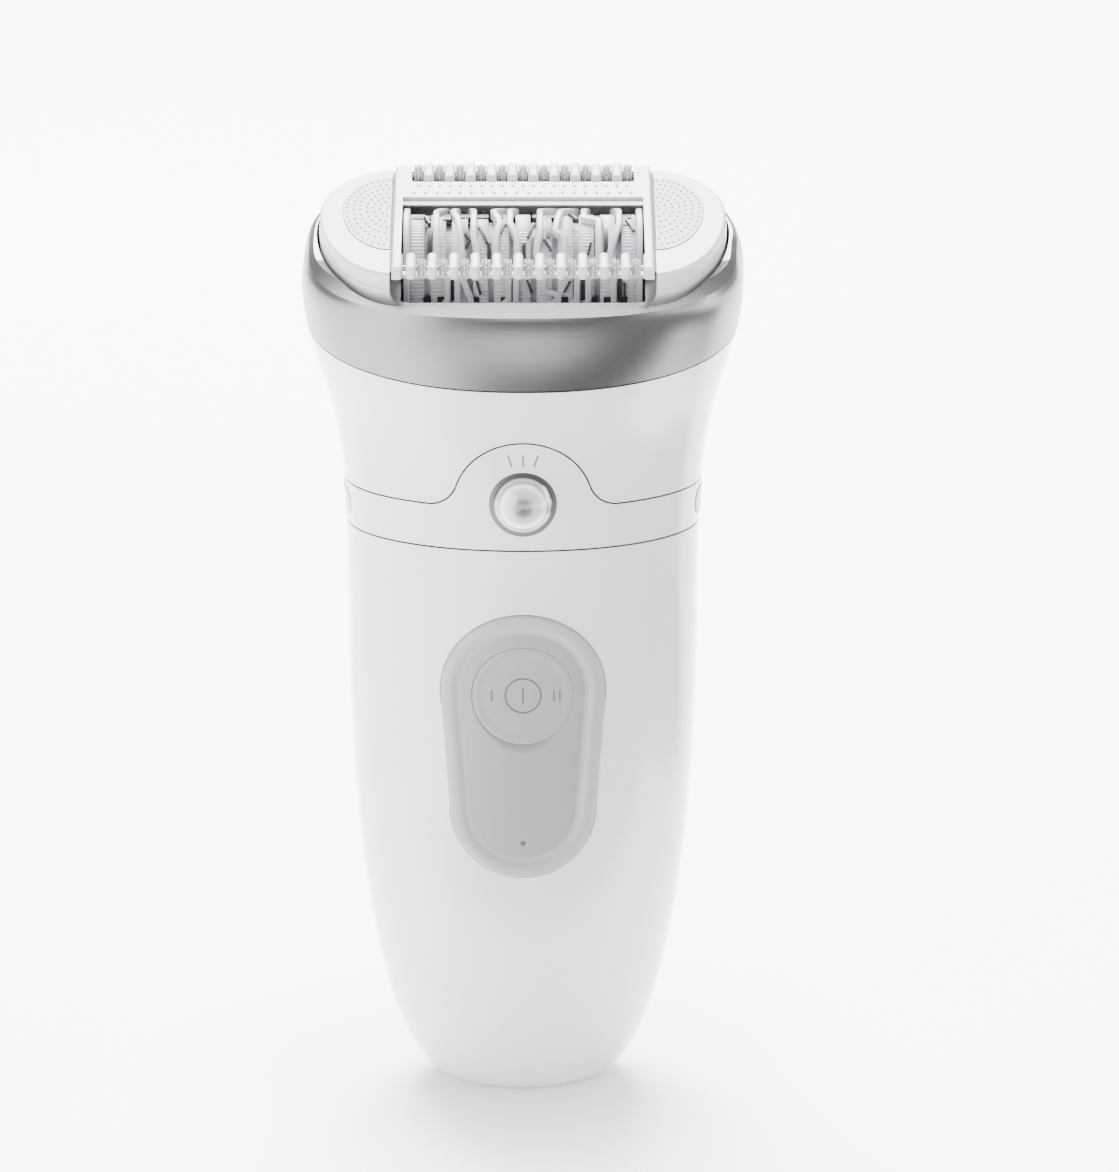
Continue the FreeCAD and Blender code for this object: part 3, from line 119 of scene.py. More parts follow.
# name: colour, roughness, bump as (scale, strength, stretch), and what else the material has
RECIPES = {
    "gloss_white": (
        (0.60, 0.60, 0.632), 0.16, (900, 0.03, EVEN), dict(stain=(14, 0.012), coat=0.6, Coat_Roughness=0.06)
    ),
    "satin_white": ((0.56, 0.56, 0.592), 0.34, (1600, 0.08, EVEN), dict(stain=(25, 0.012))),
    "pad_white": ((0.52, 0.52, 0.55), 0.5, (2600, 0.18, EVEN), dict(stain=(60, 0.02))),
    "satin_metal": ((0.17, 0.17, 0.177), 0.33, (240, 0.1, (0.3, 0.3, 22)), dict(stain=(30, 0.02), metal=1.0)),
    "soft_grey": ((0.215, 0.215, 0.23), 0.42, (3200, 0.14, EVEN), dict(stain=(40, 0.015))),
    "button_grey": ((0.23, 0.23, 0.246), 0.4, (3200, 0.10, EVEN), dict(stain=(40, 0.015))),
    "mark_grey": ((0.07, 0.07, 0.08), 0.4, (2000, 0.05, EVEN), {}),
    "dot_grey": ((0.22, 0.22, 0.25), 0.45, (2000, 0.05, EVEN), {}),
    "steel": ((0.42, 0.42, 0.44), 0.26, (700, 0.08, (1, 1, 12)), dict(metal=1.0)),
    # near black: partly the blades' own colour, partly painted shade of the slots between drum and plates
    "blade_and_slot_shade": ((0.022, 0.022, 0.025), 0.4, (700, 0.08, (1, 1, 12)), {}),
    "ring_bright": ((0.13, 0.13, 0.14), 0.3, (900, 0.03, EVEN), dict(metal=1.0)),
    "inner_grey": ((0.42, 0.43, 0.46), 0.5, (1200, 0.08, EVEN), {}),
    "acetal": ((0.78, 0.75, 0.66), 0.4, (1200, 0.06, EVEN), {}),
    "bronze": ((0.55, 0.36, 0.16), 0.4, (1500, 0.15, EVEN), dict(metal=1.0)),
    "board": ((0.03, 0.17, 0.08), 0.35, (900, 0.05, EVEN), dict(coat=0.4)),
    "chips": ((0.03, 0.03, 0.035), 0.45, (1400, 0.1, EVEN), {}),
    "cell_wrap": ((0.08, 0.20, 0.36), 0.25, None, dict(stain=(40, 0.03), coat=0.5)),
    "gold": ((0.80, 0.58, 0.24), 0.25, (900, 0.05, EVEN), dict(metal=1.0)),
    # painted shade for the faces in the seams, round the end pads and in the cap's seams
    "painted_seam_shade": ((0.05, 0.05, 0.055), 0.6, (1500, 0.1, EVEN), {}),
    # painted shade for the recess inside the pod's window
    "window_painted_shade": ((0.17, 0.17, 0.18), 0.45, (1500, 0.1, EVEN), {}),
    "pad_rim": ((0.28, 0.28, 0.297), 0.42, (3200, 0.14, EVEN), dict(stain=(40, 0.015))),
    "seal": ((0.03, 0.03, 0.032), 0.7, (2200, 0.2, EVEN), {}),
    "lead": ((0.42, 0.03, 0.03), 0.4, (900, 0.05, EVEN), {}),
    # the lamp's base colour is replaced below by rings of painted reflection
    "lamp_painted_reflection": ((0.80, 0.80, 0.82), 0.14, (700, 0.05, EVEN), dict(coat=1.0)),
    "charge_pipe": ((0.10, 0.10, 0.11), 0.2, None, dict(coat=0.5, Transmission_Weight=0.3)),
}
LOOKS = {
    name: material(name, colour, rough, bump=bump, **rest)
    for name, (colour, rough, bump, rest) in RECIPES.items()
}


def paint_round_reflection(mat, centre, reach, stops):
    """Paints rings of highlight and reflection on a material by its distance from a point, in millimetres;
    stops are (share of reach, grey).
    """
    tree = mat.node_tree
    where = tree.nodes.new("ShaderNodeTexCoord")
    apart = tree.nodes.new("ShaderNodeVectorMath")
    apart.operation = "DISTANCE"
    apart.inputs[1].default_value = Vector(centre) * MM
    share = tree.nodes.new("ShaderNodeMath")
    share.operation = "DIVIDE"
    share.inputs[1].default_value = reach * MM
    ramp = tree.nodes.new("ShaderNodeValToRGB")
    ramp.color_ramp.interpolation = "EASE"
    while len(ramp.color_ramp.elements) < len(stops):
        ramp.color_ramp.elements.new(0.5)
    for element, (place, grey) in zip(ramp.color_ramp.elements, stops):
        element.position = place
        element.color = (grey, grey, grey * 1.02, 1)
    tree.links.new(where.outputs["Object"], apart.inputs[0])
    tree.links.new(apart.outputs["Value"], share.inputs[0])
    tree.links.new(share.outputs["Value"], ramp.inputs["Fac"])
    tree.links.new(ramp.outputs["Color"], tree.nodes["Principled BSDF"].inputs["Base Color"])


# painted reflection on the lamp's dome: a grey middle, a bright highlight ring and a dark edge
LAMP_Z, LAMP_REACH = 98.6, 4.7
LAMP_REFLECTION_STOPS = (
    (0.0, 0.08), (0.2, 0.13), (0.42, 0.42), (0.55, 0.5), (0.72, 0.85), (0.84, 0.30), (0.93, 0.5), (1.0, 0.08),
)
lamp_tip = min(vertex.co.y for vertex in nodes["lamp_lens"].data.vertices)
paint_round_reflection(LOOKS["lamp_painted_reflection"], (0, lamp_tip / MM, LAMP_Z), LAMP_REACH, LAMP_REFLECTION_STOPS)

NODE_LOOKS = {
    "gloss_white": "front_shell rear_shell collar head_skirt",
    "satin_white": "pod_shell massage_cap left_release_button right_release_button front_rolls rear_rolls "
    "barrel_segments closing_discs",
    "pad_white": "end_pads",
    "satin_metal": "head_band",
    "soft_grey": "switch_pad",
    "button_grey": "power_button",
    "steel": "tweezer_plates barrel_axle pivot_pins idler_pin input_shaft cross_shaft output_shaft "
    "motor_shaft motor motor_screws deck_screws chassis_screws board_screws roll_wires release_springs",
    "ring_bright": "lamp_ring",
    "lamp_painted_reflection": "lamp_lens",
    "charge_pipe": "charge_lamp",
    "inner_grey": "neck_deck gear_plate charge_socket band_ring head_chassis lamp_reflector closing_cams",
    "acetal": "barrel_gear idler_gear cross_gear bevel_wheel bevel_pinion output_gear motor_pinion",
    "bronze": "head_bushes output_bushes",
    "board": "circuit_board lamp_board",
    "chips": "board_components tact_switch",
    "cell_wrap": "battery_cell",
    "gold": "battery_tabs charge_pins",
    "seal": "neck_seal",
    "lead": "leads",
}
for look, names in NODE_LOOKS.items():
    for name in names.split():
        mesh = nodes[name].data
        mesh.materials.clear()
        mesh.materials.append(LOOKS[look])


# ---- painted shade in the seams and the window ----
def shade_faces(names, look, wanted):
    """Gives a second look, a painted shade, to the faces of CAD nodes that wanted(centre, normal) picks, in
    millimetres.
    """
    for name in names.split():
        mesh = nodes[name].data
        mesh.materials.append(LOOKS[look])
        last = len(mesh.materials) - 1
        for face in mesh.polygons:
            if wanted(face.center / MM, face.normal):
                face.material_index = last


# seam faces lie between these heights, clear of the base and the rim, and outside the switch pad's seat
SEAM_LOW, SEAM_HIGH = 6, 134
SEAT_TOP, SEAT_BACK, SEAT_HALF = 88, 3, 16
SKIN_HALF_WIDTH, SKIN_HALF_DEPTH = 27.0, 19.0
HEAD_START, HEAD_LEAN = 98, 0.12


def on_edge(at, normal):
    """True for faces that look into a seam, which stand square to the outer skin; they get a painted shade.
    """
    in_seat = at.z < SEAT_TOP and at.y < SEAT_BACK and abs(at.x) < SEAT_HALF
    if in_seat or not SEAM_LOW <= at.z <= SEAM_HIGH:
        return False
    y = at.y + max(0.0, at.z - HEAD_START) * HEAD_LEAN
    out = Vector((at.x / SKIN_HALF_WIDTH**2, y / SKIN_HALF_DEPTH**2, 0)).normalized()
    return abs(normal.dot(out)) < 0.45


WINDOW_HALF, WINDOW_FRONT, WINDOW_BACK, WINDOW_TOP = 19.62, -15.9, 6, 2.5


def in_window(at, _normal):
    """True for the pod's faces inside the window and the trough, which get a painted shade."""
    x, y, z = HEAD_MATRIX.inverted() @ (at * MM) / MM
    return abs(x) < WINDOW_HALF and WINDOW_FRONT < y < WINDOW_BACK and z < WINDOW_TOP


def pad_side(_at, normal):
    """True for the upright faces round the end pads, which get a painted shade."""
    return abs(normal.dot(Vector((0, -sin(TILT), cos(TILT))))) < 0.5


# painted shade on the faces that look into the seams
shade_faces("front_shell rear_shell collar head_skirt head_band", "painted_seam_shade", on_edge)
# painted shade on the pod's faces inside the window
shade_faces("pod_shell", "window_painted_shade", in_window)
# painted shade on the upright faces round the end pads
shade_faces("end_pads", "painted_seam_shade", pad_side)


# ---- mesh helpers ----
def turns(count):
    """Angles at even steps round a circle."""
    return [2 * pi * k / count for k in range(count)]


def piece(name, bm, look, body, replaces=(), smooth=True):
    """Turns a bmesh in the row frame into a piece that rides on a body."""
    mesh = bpy.data.meshes.new(name)
    bmesh.ops.recalc_face_normals(bm, faces=bm.faces)
    bm.to_mesh(mesh)
    bm.free()
    mesh.materials.append(LOOKS[look])
    if smooth:
        mesh.shade_smooth()
    obj = bpy.data.objects.new(name, mesh)
    bpy.context.scene.collection.objects.link(obj)
    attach(obj, body)
    if replaces:
        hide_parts(*replaces)


def grid_faces(bm, rings, closed_path=False):
    """Joins rings of vertices of equal length with quads."""
    pairs = list(zip(rings, rings[1:])) + ([(rings[-1], rings[0])] if closed_path else [])
    for low, high in pairs:
        count = len(low)
        for i in range(count):
            j = (i + 1) % count
            bm.faces.new((low[i], low[j], high[j], high[i]))


def on_barrel(x, radius, angle):
    """A point on the barrel: angle 0 faces the front, 90 degrees is the top."""
    return head_point(x, BARREL_Y - radius * cos(angle), BARREL_Z + radius * sin(angle))


# ---- the ribbed drum ----
DRUM_HALF, DRUM_R, SEGMENTS = 17.3, 8.68, 11
SLOT_HALF = 0.45  # half of the slot between two segments
RIBS, RIB_WAVE = 96, (0, 0.10, 0.13, 0.10)


def drum():
    """Segments with fine ribs along the axis, between the closing arms."""
    bm = bmesh.new()
    pitch = 2 * DRUM_HALF / SEGMENTS
    for i in range(SEGMENTS):
        x0 = -DRUM_HALF + i * pitch + SLOT_HALF
        x1 = x0 + pitch - 2 * SLOT_HALF
        rings = []
        for x, sunk in ((x0, 1.6), (x0, 0.12), (x0 + 0.1, 0.0), (x1 - 0.1, 0.0), (x1, 0.12), (x1, 1.6)):
            ring = []
            for k, angle in enumerate(turns(RIBS * len(RIB_WAVE))):
                wave = RIB_WAVE[k % len(RIB_WAVE)] if sunk < 1 else 0
                ring.append(bm.verts.new(on_barrel(x, DRUM_R - sunk + wave, angle)))
            rings.append(ring)
        grid_faces(bm, rings)
    piece("drum_ribbed", bm, "satin_white", "barrel", ["barrel_segments"])


# each closing arm: (x in millimetres, angle in degrees) along a third of the turn
ARMS = (
    ((-17.3, 0), (-17.3, 120)),
    ((-11.2, 6), (-11.2, 24), (-12.8, 40), (-12.9, 92), (-12.9, 104)),
    ((-9.7, 4), (-9.7, 27), (-9.03, 48), (-9.5, 82), (-10.4, 108)),
    ((-7.85, 8), (-8.85, 24), (-6.7, 44), (-7.33, 65), (-7.33, 110)),
    ((-2.15, 6), (-2.15, 24), (-4.1, 46), (-4.0, 66), (-3.42, 82), (-4.4, 108)),
    ((-1.04, 4), (-1.04, 27), (-0.9, 48), (-0.9, 65), (-1.93, 82), (-1.93, 112)),
    ((5.2, 5), (5.2, 10), (3.03, 14), (3.03, 27), (1.92, 48), (2.5, 72), (2.54, 112)),
    ((8.0, 4), (8.0, 26), (6.07, 48), (6.07, 66), (4.74, 73), (5.6, 108)),
    ((9.7, 6), (9.7, 24), (11.2, 46), (11.2, 86), (9.07, 91), (9.07, 112)),
    ((13.48, 4), (13.46, 27), (12.87, 48), (14.26, 82), (14.26, 112)),
    ((17.3, 0), (17.3, 120)),
)
# near-black blades beside the arms, partly the blades and partly painted shade of the slots: (x, first angle,
# last angle, width)
BLADES = (
    (-13.8, 49, 78, 0.75), (-15.2, 96, 103, 2.7), (-11.3, 94, 110, 1.2), (-8.8, 98, 110, 1.9),
    (-8.48, 70, 95, 0.55), (-6.1, 98, 108, 1.9), (-5.03, 44, 60, 0.55), (-3.4, 98, 108, 1.2),
    (-2.6, 84, 104, 0.7), (0.15, 44, 60, 0.55), (1.8, 98, 108, 0.8), (4.1, 98, 108, 1.6),
    (3.78, 66, 98, 0.75), (10.6, 96, 103, 2.1), (12.3, 48, 79, 0.65), (15.3, 98, 106, 1.8),
    (15.17, 84, 98, 0.6), (-10.44, 4, 25, 0.7), (-1.6, 4, 25, 0.5), (8.88, 4, 25, 0.6),
    (14.36, 4, 25, 0.55), (-14.2, 0, 7, 1.1), (-12.2, 0, 7, 1.0), (-7.0, 0, 7, 1.0), (-2.9, 0, 7, 0.8),
    (6.2, 0, 7, 1.0), (10.6, 0, 7, 0.9), (12.45, 0, 7, 1.0), (15.0, 0, 7, 0.9),
)
# slim tips: (x0, angle0, x1, angle1)
TIPS = (
    (-14.6, 98, -13.83, 84), (-8.46, 70, -7.86, 64), (-7.86, 64, -8.74, 52), (-6.54, 81, -5.34, 60),
    (-2.7, 86, -3.3, 72), (1.5, 84, 0.74, 66), (3.11, 64, 4.15, 52), (6.9, 106, 8.04, 92),
    (10.08, 60, 9.48, 45), (15.33, 92, 16.48, 74), (6.96, 23, 6.07, 12), (15.0, 22, 15.0, 8),
    (-6.9, 23, -6.3, 10), (0.6, 24, 1.3, 12),
)


REPEATS = (0, 120, 240)  # the pattern of arms and blades comes three times in a turn
ARM_STEP = 2  # degrees
ARM_HALF, ARM_ROOT, ARM_SHOULDER, ARM_TOP, ARM_CHAMFER = 0.45, 8.3, 9.55, 9.74, 0.16


def arm_path(corners):
    """x and angle at even steps round the whole turn."""
    spans = [(x, a + turn) for turn in REPEATS for x, a in corners]
    spans.append((spans[0][0], spans[0][1] + 360))
    path = []
    for step in range(360 // ARM_STEP):
        angle = spans[0][1] + ARM_STEP * step
        for (xa, a), (xb, b) in zip(spans, spans[1:]):
            if a <= angle <= b:
                path.append((xa + (xb - xa) * (angle - a) / max(b - a, 1e-6), angle))
                break
    return path


def arms():
    """White closing arms that wander sideways over the drum."""
    bm = bmesh.new()
    for shape in ARMS:
        path = arm_path(shape)
        rings = []
        for k, (x, angle) in enumerate(path):
            before, after = path[k - 1][0], path[(k + 1) % len(path)][0]
            slope = (after - before) / (2 * radians(ARM_STEP) * 9.3)
            half = ARM_HALF * min(sqrt(1 + slope * slope), 2.2)
            flat = half - ARM_CHAMFER
            profile = (
                (-half, ARM_ROOT), (-half, ARM_SHOULDER), (-flat, ARM_TOP),
                (flat, ARM_TOP), (half, ARM_SHOULDER), (half, ARM_ROOT),
            )
            rings.append([bm.verts.new(on_barrel(x + dx, r, radians(angle))) for dx, r in profile])
        grid_faces(bm, rings, closed_path=True)
    piece("closing_arms", bm, "satin_white", "barrel", ["closing_discs"], smooth=False)


def arc_bar(bm, x0, a0, x1, a1, width, low, high):
    """A bar bent round the barrel from (x0, a0) to (x1, a1), in degrees."""
    count = max(3, int(abs(a1 - a0) / 4) + 2)
    rings = []
    for k in range(count):
        share = k / (count - 1)
        x, angle = x0 + (x1 - x0) * share, radians(a0 + (a1 - a0) * share)
        rings.append([
            bm.verts.new(on_barrel(x + dx, r, angle))
            for dx, r in ((-width / 2, low), (-width / 2, high), (width / 2, high), (width / 2, low))
        ])
    grid_faces(bm, rings)
    bm.faces.new(rings[0])
    bm.faces.new(rings[-1])


def blades():
    """Near-black blades in the slots and their slim tips beside the arms: partly the steel blades, partly
    painted shade of the slots.
    """
    dark, tips = bmesh.new(), bmesh.new()
    for turn in REPEATS:
        for x, a0, a1, width in BLADES:
            arc_bar(dark, x, a0 + turn, x, a1 + turn, width, 8.2, 8.98)
        for x0, a0, x1, a1 in TIPS:
            arc_bar(tips, x0, a0 + turn, x1, a1 + turn, 0.34, 8.4, 9.3)
    piece("tweezer_blades", dark, "blade_and_slot_shade", "barrel", ["tweezer_plates"], smooth=False)
    piece("tweezer_tips", tips, "blade_and_slot_shade", "barrel", smooth=False)


def core():
    """The dark shaft tube under the segments, which fills the slots between them."""
    bm = bmesh.new()
    rings = []
    for x, radius in ((-17.25, 1.3), (-17.25, 7.6), (17.25, 7.6), (17.25, 1.3)):
        rings.append([bm.verts.new(on_barrel(x, radius, angle)) for angle in turns(48)])
    grid_faces(bm, rings)
    piece("barrel_core", bm, "inner_grey", "barrel", smooth=False)


# ---- beaded massage rolls ----
ROLLS, ROLL_PITCH, ROLL_HALF, ROLL_R, ROLL_END_R = 11, 3.15, 0.69, 0.86, 0.8
BEADS_ROUND, POINTS_ROUND, POINTS_ALONG = 11, 110, 27
MIDDLE = 0.42  # share of the roll's half-length taken by the middle ring of beads
OUTER_AT, OUTER_HALF = 0.71, 0.29
MIDDLE_BEAD, OUTER_BEAD = 0.58, 0.46


def bead_height(along, place):
    """How far a bead stands out of the roll, at a share of its half-length and a place counted in beads."""
    middle = -MIDDLE <= along < MIDDLE
    across = along / MIDDLE if middle else (abs(along) - OUTER_AT) / OUTER_HALF
    place += 0.5 if middle else 0.0
    off = (place - round(place)) * 2
    return (MIDDLE_BEAD if middle else OUTER_BEAD) * sqrt(max(0.0, 1 - across * across - off * off))


def beaded_rolls(name, row_y, row_z, first_x, body, node):
    """Rolls covered with three staggered rings of round beads."""
    bm = bmesh.new()
    for i in range(ROLLS):
        rings = []
        for k in range(POINTS_ALONG):
            along = -1 + 2 * k / (POINTS_ALONG - 1)
            is_end = k in (0, POINTS_ALONG - 1)
            ring = []
            for j, angle in enumerate(turns(POINTS_ROUND)):
                bead = bead_height(along, BEADS_ROUND * j / POINTS_ROUND)
                radius = ROLL_END_R if is_end else ROLL_R + bead
                y, z = row_y + radius * cos(angle), row_z + radius * sin(angle)
                ring.append(bm.verts.new(head_point(first_x + i * ROLL_PITCH + ROLL_HALF * along, y, z)))
            rings.append(ring)
        grid_faces(bm, rings)
        for ring in (rings[0], rings[-1]):
            bm.faces.new(ring)
    piece(name, bm, "satin_white", body, [node])


# ---- dots ----
def dome(bm, centre, radius, height):
    """A small round nub standing on the head's plane at centre, which is in the head's frame."""
    top = bm.verts.new(head_point(centre[0], centre[1], centre[2] + height))
    rings = []
    for share, lift in ((0.45, 0.85), (0.8, 0.5), (1.0, -0.25)):
        ring = []
        for angle in turns(10):
            x, y = centre[0] + radius * share * cos(angle), centre[1] + radius * share * sin(angle)
            ring.append(bm.verts.new(head_point(x, y, centre[2] + height * lift)))
        rings.append(ring)
    grid_faces(bm, rings)
    for k, corner in enumerate(rings[0]):
        bm.faces.new((corner, rings[0][(k + 1) % len(rings[0])], top))


PAD_X, PAD_Y, PAD_TOP, PAD_WIDTH, PAD_FRONT, PAD_BACK = 19.9, 3.6, 3.52, 7.3, 12.4, 9.6
PAD_DOT_ROWS, PAD_DOT_PITCH = 7, 1.15


def pad_dots():
    """Concentric arcs of nubs on the two end pads."""
    bm = bmesh.new()
    for side in (-1, 1):
        for row in range(PAD_DOT_ROWS):
            reach = 0.45 + row
            share = reach / PAD_WIDTH
            front, back = PAD_FRONT * share, PAD_BACK * share
            arc = pi / 2 * sqrt((reach * reach + ((front + back) / 2) ** 2) / 2) * 2
            count = max(2, round(arc / PAD_DOT_PITCH))
            for k in range(count):
                angle = -pi / 2 + pi * (k + (0.3 if row % 2 else 0.7)) / count
                x = PAD_X + reach * cos(angle)
                y = PAD_Y + (back if angle > 0 else front) * sin(angle)
                dome(bm, (side * x, y, PAD_TOP), 0.23, 0.12)
    piece("pad_dots", bm, "dot_grey", "pod")


def cap_dots():
    """Two rows of small nubs behind the opening."""
    bm = bmesh.new()
    for y, count, first, pitch in ((9.1, 21, -15.6, 1.56), (7.0, 20, -16.3, 1.71)):
        for k in range(count):
            dome(bm, (first + k * pitch, y, 4.2), 0.29, 0.13)
    piece("cap_dots", bm, "dot_grey", "cap")


# ---- the button's dish and its marks ----
BUTTON_Z = 68.3
BUTTON_RADII = (
    *(0.6 * k for k in range(1, 10)), 5.8, 6.1, 6.4, 6.6, 6.8, 7.0, 7.15, 7.3, 7.4, 7.55, 7.67,
)
DISH_R, DISH_EDGE, DISH_STEP, HOLLOW_R, HOLLOW = 7.2, 1.3, 0.16, 6.3, 0.2
PROUD = 0.02  # how far the button's edge stands out of the pad's floor


def dish_depth(r):
    """How far the button's face stands in from the pad's floor, at r from its centre."""
    if r > DISH_R:
        return -PROUD
    edge = min(1.0, (DISH_R - r) / DISH_EDGE)
    hollow = HOLLOW * (0.5 + 0.5 * cos(pi * min(1.0, r / HOLLOW_R)))
    return DISH_STEP * edge * edge * (3 - 2 * edge) + hollow - PROUD


def button():
    """A soft dish with a rounded edge."""
    bm = bmesh.new()
    rings = []
    for r in BUTTON_RADII:
        points = [(r * cos(angle), BUTTON_Z + r * sin(angle)) for angle in turns(72)]
        rings.append([bm.verts.new(on_grip(x, z, -dish_depth(r))) for x, z in points])
    grid_faces(bm, rings)
    bm.faces.new(rings[0])
    back = [bm.verts.new(v.co + Vector((0, 1.2 * MM, 0))) for v in rings[-1]]
    grid_faces(bm, [rings[-1], back])
    bm.faces.new(back)
    piece("button_face", bm, "button_grey", "power_button", ["power_button"])


def mark(bm, points, width, lift=0.03):
    """A thin raised line on the button's face through points (x, z)."""
    rings = []
    for k, (x, z) in enumerate(points):
        before, after = points[max(k - 1, 0)], points[min(k + 1, len(points) - 1)]
        along = Vector((after[0] - before[0], after[1] - before[1])).normalized()
        side = Vector((-along.y, along.x)) * width / 2
        ring = []
        for share, out in ((-1, -0.05), (-0.7, lift), (0.7, lift), (1, -0.05)):
            px, pz = x + side.x * share, z + side.y * share
            r = sqrt(px * px + (pz - BUTTON_Z) ** 2)
            ring.append(bm.verts.new(on_grip(px, pz, out - dish_depth(r))))
        rings.append(ring)
    grid_faces(bm, rings)


def button_marks():
    """A generic switch sign: a bar in a circle, with one stroke to its left and two to its right."""
    bm = bmesh.new()
    circle = [(2.7 * sin(2 * pi * k / 48), BUTTON_Z + 2.7 * cos(2 * pi * k / 48)) for k in range(49)]
    mark(bm, circle, 0.3, 0.06)
    mark(bm, [(0, BUTTON_Z - 1.25), (0, BUTTON_Z), (0, BUTTON_Z + 1.25)], 0.34)
    for x in (-4.75, 4.65, 5.55):
        mark(bm, [(x, BUTTON_Z - 0.9), (x, BUTTON_Z), (x, BUTTON_Z + 0.9)], 0.3)
    piece("button_marks", bm, "mark_grey", "power_button")


TICK_LOW, TICK_LENGTH, TICK_STEPS = 104.6, 1.9, 4


def ray_ticks():
    """Three short ticks over the lamp, laid on the collar."""
    bm = bmesh.new()
    for x, lean in ((-1.68, -0.57), (0, 0), (1.68, 0.57)):
        rings = []
        for k in range(TICK_STEPS + 1):
            z = TICK_LOW + TICK_LENGTH * k / TICK_STEPS
            middle = x + lean * k / TICK_STEPS
            ring = []
            for dx, out in ((-0.17, -0.05), (-0.1, 0.02), (0.1, 0.02), (0.17, -0.05)):
                start = Vector(((middle + dx) * MM, -0.05, z * MM))
                at = nodes["collar"].ray_cast(start, Vector((0, 1, 0)))[1]
                ring.append(bm.verts.new(at + Vector((0, -out * MM, 0))))
            rings.append(ring)
        grid_faces(bm, rings)
    piece("lamp_ticks", bm, "mark_grey", "handle", smooth=False)


# ---- the switch pad ----
PILL_TOP_Z, PILL_TOP_R, PILL_LOW_Z, PILL_LOW_R = 68.8, 12.5, 49.9, 11.1
ARC_POINTS, SIDE_POINTS = 24, 20


def pill(grow):
    """Points (x, z) round the switch pad's outline, grown by a distance, from the top centre."""
    side = pi / 2 + (PILL_TOP_R - PILL_LOW_R) / (PILL_TOP_Z - PILL_LOW_Z)
    points = []
    for centre, radius, a0, a1 in ((PILL_TOP_Z, PILL_TOP_R, 0, side), (PILL_LOW_Z, PILL_LOW_R, side, pi)):
        arc = []
        for k in range(ARC_POINTS):
            angle = a0 + (a1 - a0) * k / (ARC_POINTS - 1)
            arc.append(((radius + grow) * sin(angle), centre + (radius + grow) * cos(angle)))
        if points:
            (x0, z0), (x1, z1) = points[-1], arc[0]
            shares = [k / SIDE_POINTS for k in range(1, SIDE_POINTS)]
            points += [(x0 + (x1 - x0) * share, z0 + (z1 - z0) * share) for share in shares]
        points += arc
    return points + [(-x, z) for x, z in reversed(points[1:-1])]


# the rim's section: (distance in from the outline, height over the shell)
RIM_SECTION = (
    (0.02, -0.5), (0.03, 0.06), (0.14, 0.18), (0.34, 0.26), (0.7, 0.3), (1.3, 0.29), (1.75, 0.2), (2.1, 0.03),
    (2.4, -0.15), (2.75, -0.26), (3.1, -0.3),
)
FLOOR_EDGE = 3.05  # the floor starts this far in from the outline
HOLE_R, HOLE_DEPTH = 7.72, 0.9


def switch_pad():
    """The pad's soft rim and its sunk floor, which runs in to the button's hole."""
    rim, sunk = bmesh.new(), bmesh.new()
    rings = []
    for inset, height in RIM_SECTION:
        points = pill(-inset)
        rings.append([rim.verts.new(Vector((x, grip_front(x, z, -height), z)) * MM) for x, z in points])
    grid_faces(rim, rings)
    rings = []
    for share in (0, 0.1, 0.2, 0.35, 0.5, 0.65, 0.8, 0.9, 1):
        ring = []
        for x, z in pill(-FLOOR_EDGE):
            angle = atan2(z - BUTTON_Z, x)
            x1, z1 = HOLE_R * cos(angle), BUTTON_Z + HOLE_R * sin(angle)
            ring.append(sunk.verts.new(on_grip(x + (x1 - x) * share, z + (z1 - z) * share)))
        rings.append(ring)
    wall = [sunk.verts.new(at.co + Vector((0, HOLE_DEPTH * MM, 0))) for at in rings[-1]]
    grid_faces(sunk, rings + [wall])
    piece("pad_rim", rim, "pad_rim", "handle", ["switch_pad"])
    piece("pad_floor", sunk, "soft_grey", "handle")


CHARGE_Z = 44.4


def charge_dot():
    """The charge light's end, just proud of the pad's floor."""
    bm = bmesh.new()
    rings = []
    for r, out in ((0.12, 0.05), (0.3, 0.04), (0.42, 0.0), (0.44, -0.3)):
        ring = []
        for angle in turns(20):
            x, z = r * cos(angle), CHARGE_Z + r * sin(angle)
            ring.append(bm.verts.new(Vector((x, grip_front(x, z, FLOOR_INSET - out), z)) * MM))
        rings.append(ring)
    grid_faces(bm, rings)
    bm.faces.new(rings[0])
    piece("charge_dot", bm, "charge_pipe", "handle")


def cap_seam_shade():
    """Strips of painted shade at the bottom of the two narrow seams beside the cap."""
    bm = bmesh.new()
    for side in (-1, 1):
        near, far = side * 19.27, side * 19.58
        corners = ((near, -15), (far, -15), (far, 15), (near, 15))
        low, high = ([bm.verts.new(head_point(x, y, z)) for x, y in corners] for z in (2.62, 3.3))
        grid_faces(bm, [low, high])
        bm.faces.new(low)
        bm.faces.new(high)
    piece("cap_seam_shade", bm, "painted_seam_shade", "pod", smooth=False)


drum()
core()
switch_pad()
charge_dot()
cap_seam_shade()
arms()
blades()
beaded_rolls("front_rolls_beaded", -13.4, 2.95, -14.87, "front_rollers", "front_rolls")
beaded_rolls("rear_rolls_beaded", 13.6, 3.9, -15.75, "rear_rollers", "rear_rolls")
pad_dots()
cap_dots()
button()
button_marks()
ray_ticks()


# ---- floor, lights and camera ----
FLOOR_SIDE, FLOOR_GREY, FLOOR_GLOW = 12.0, 0.9, 3.0
GLOW_FROM = 0.065  # the glow is full from this far out, and there is none under the base, which paints a contact shadow
SHADE_LIGHT = 0.02  # what is left of the light in the middle of the shade
# where the shade in front, the shade at the right and the end of both fade in, along X and along Y
SHADE_EDGES = (
    ((-0.12, -0.01), (-0.045, -0.08)),
    ((0.115, 0.19), (0.12, 0.02)),
    ((0.45, 0.3), (-0.4, -0.25)),
)


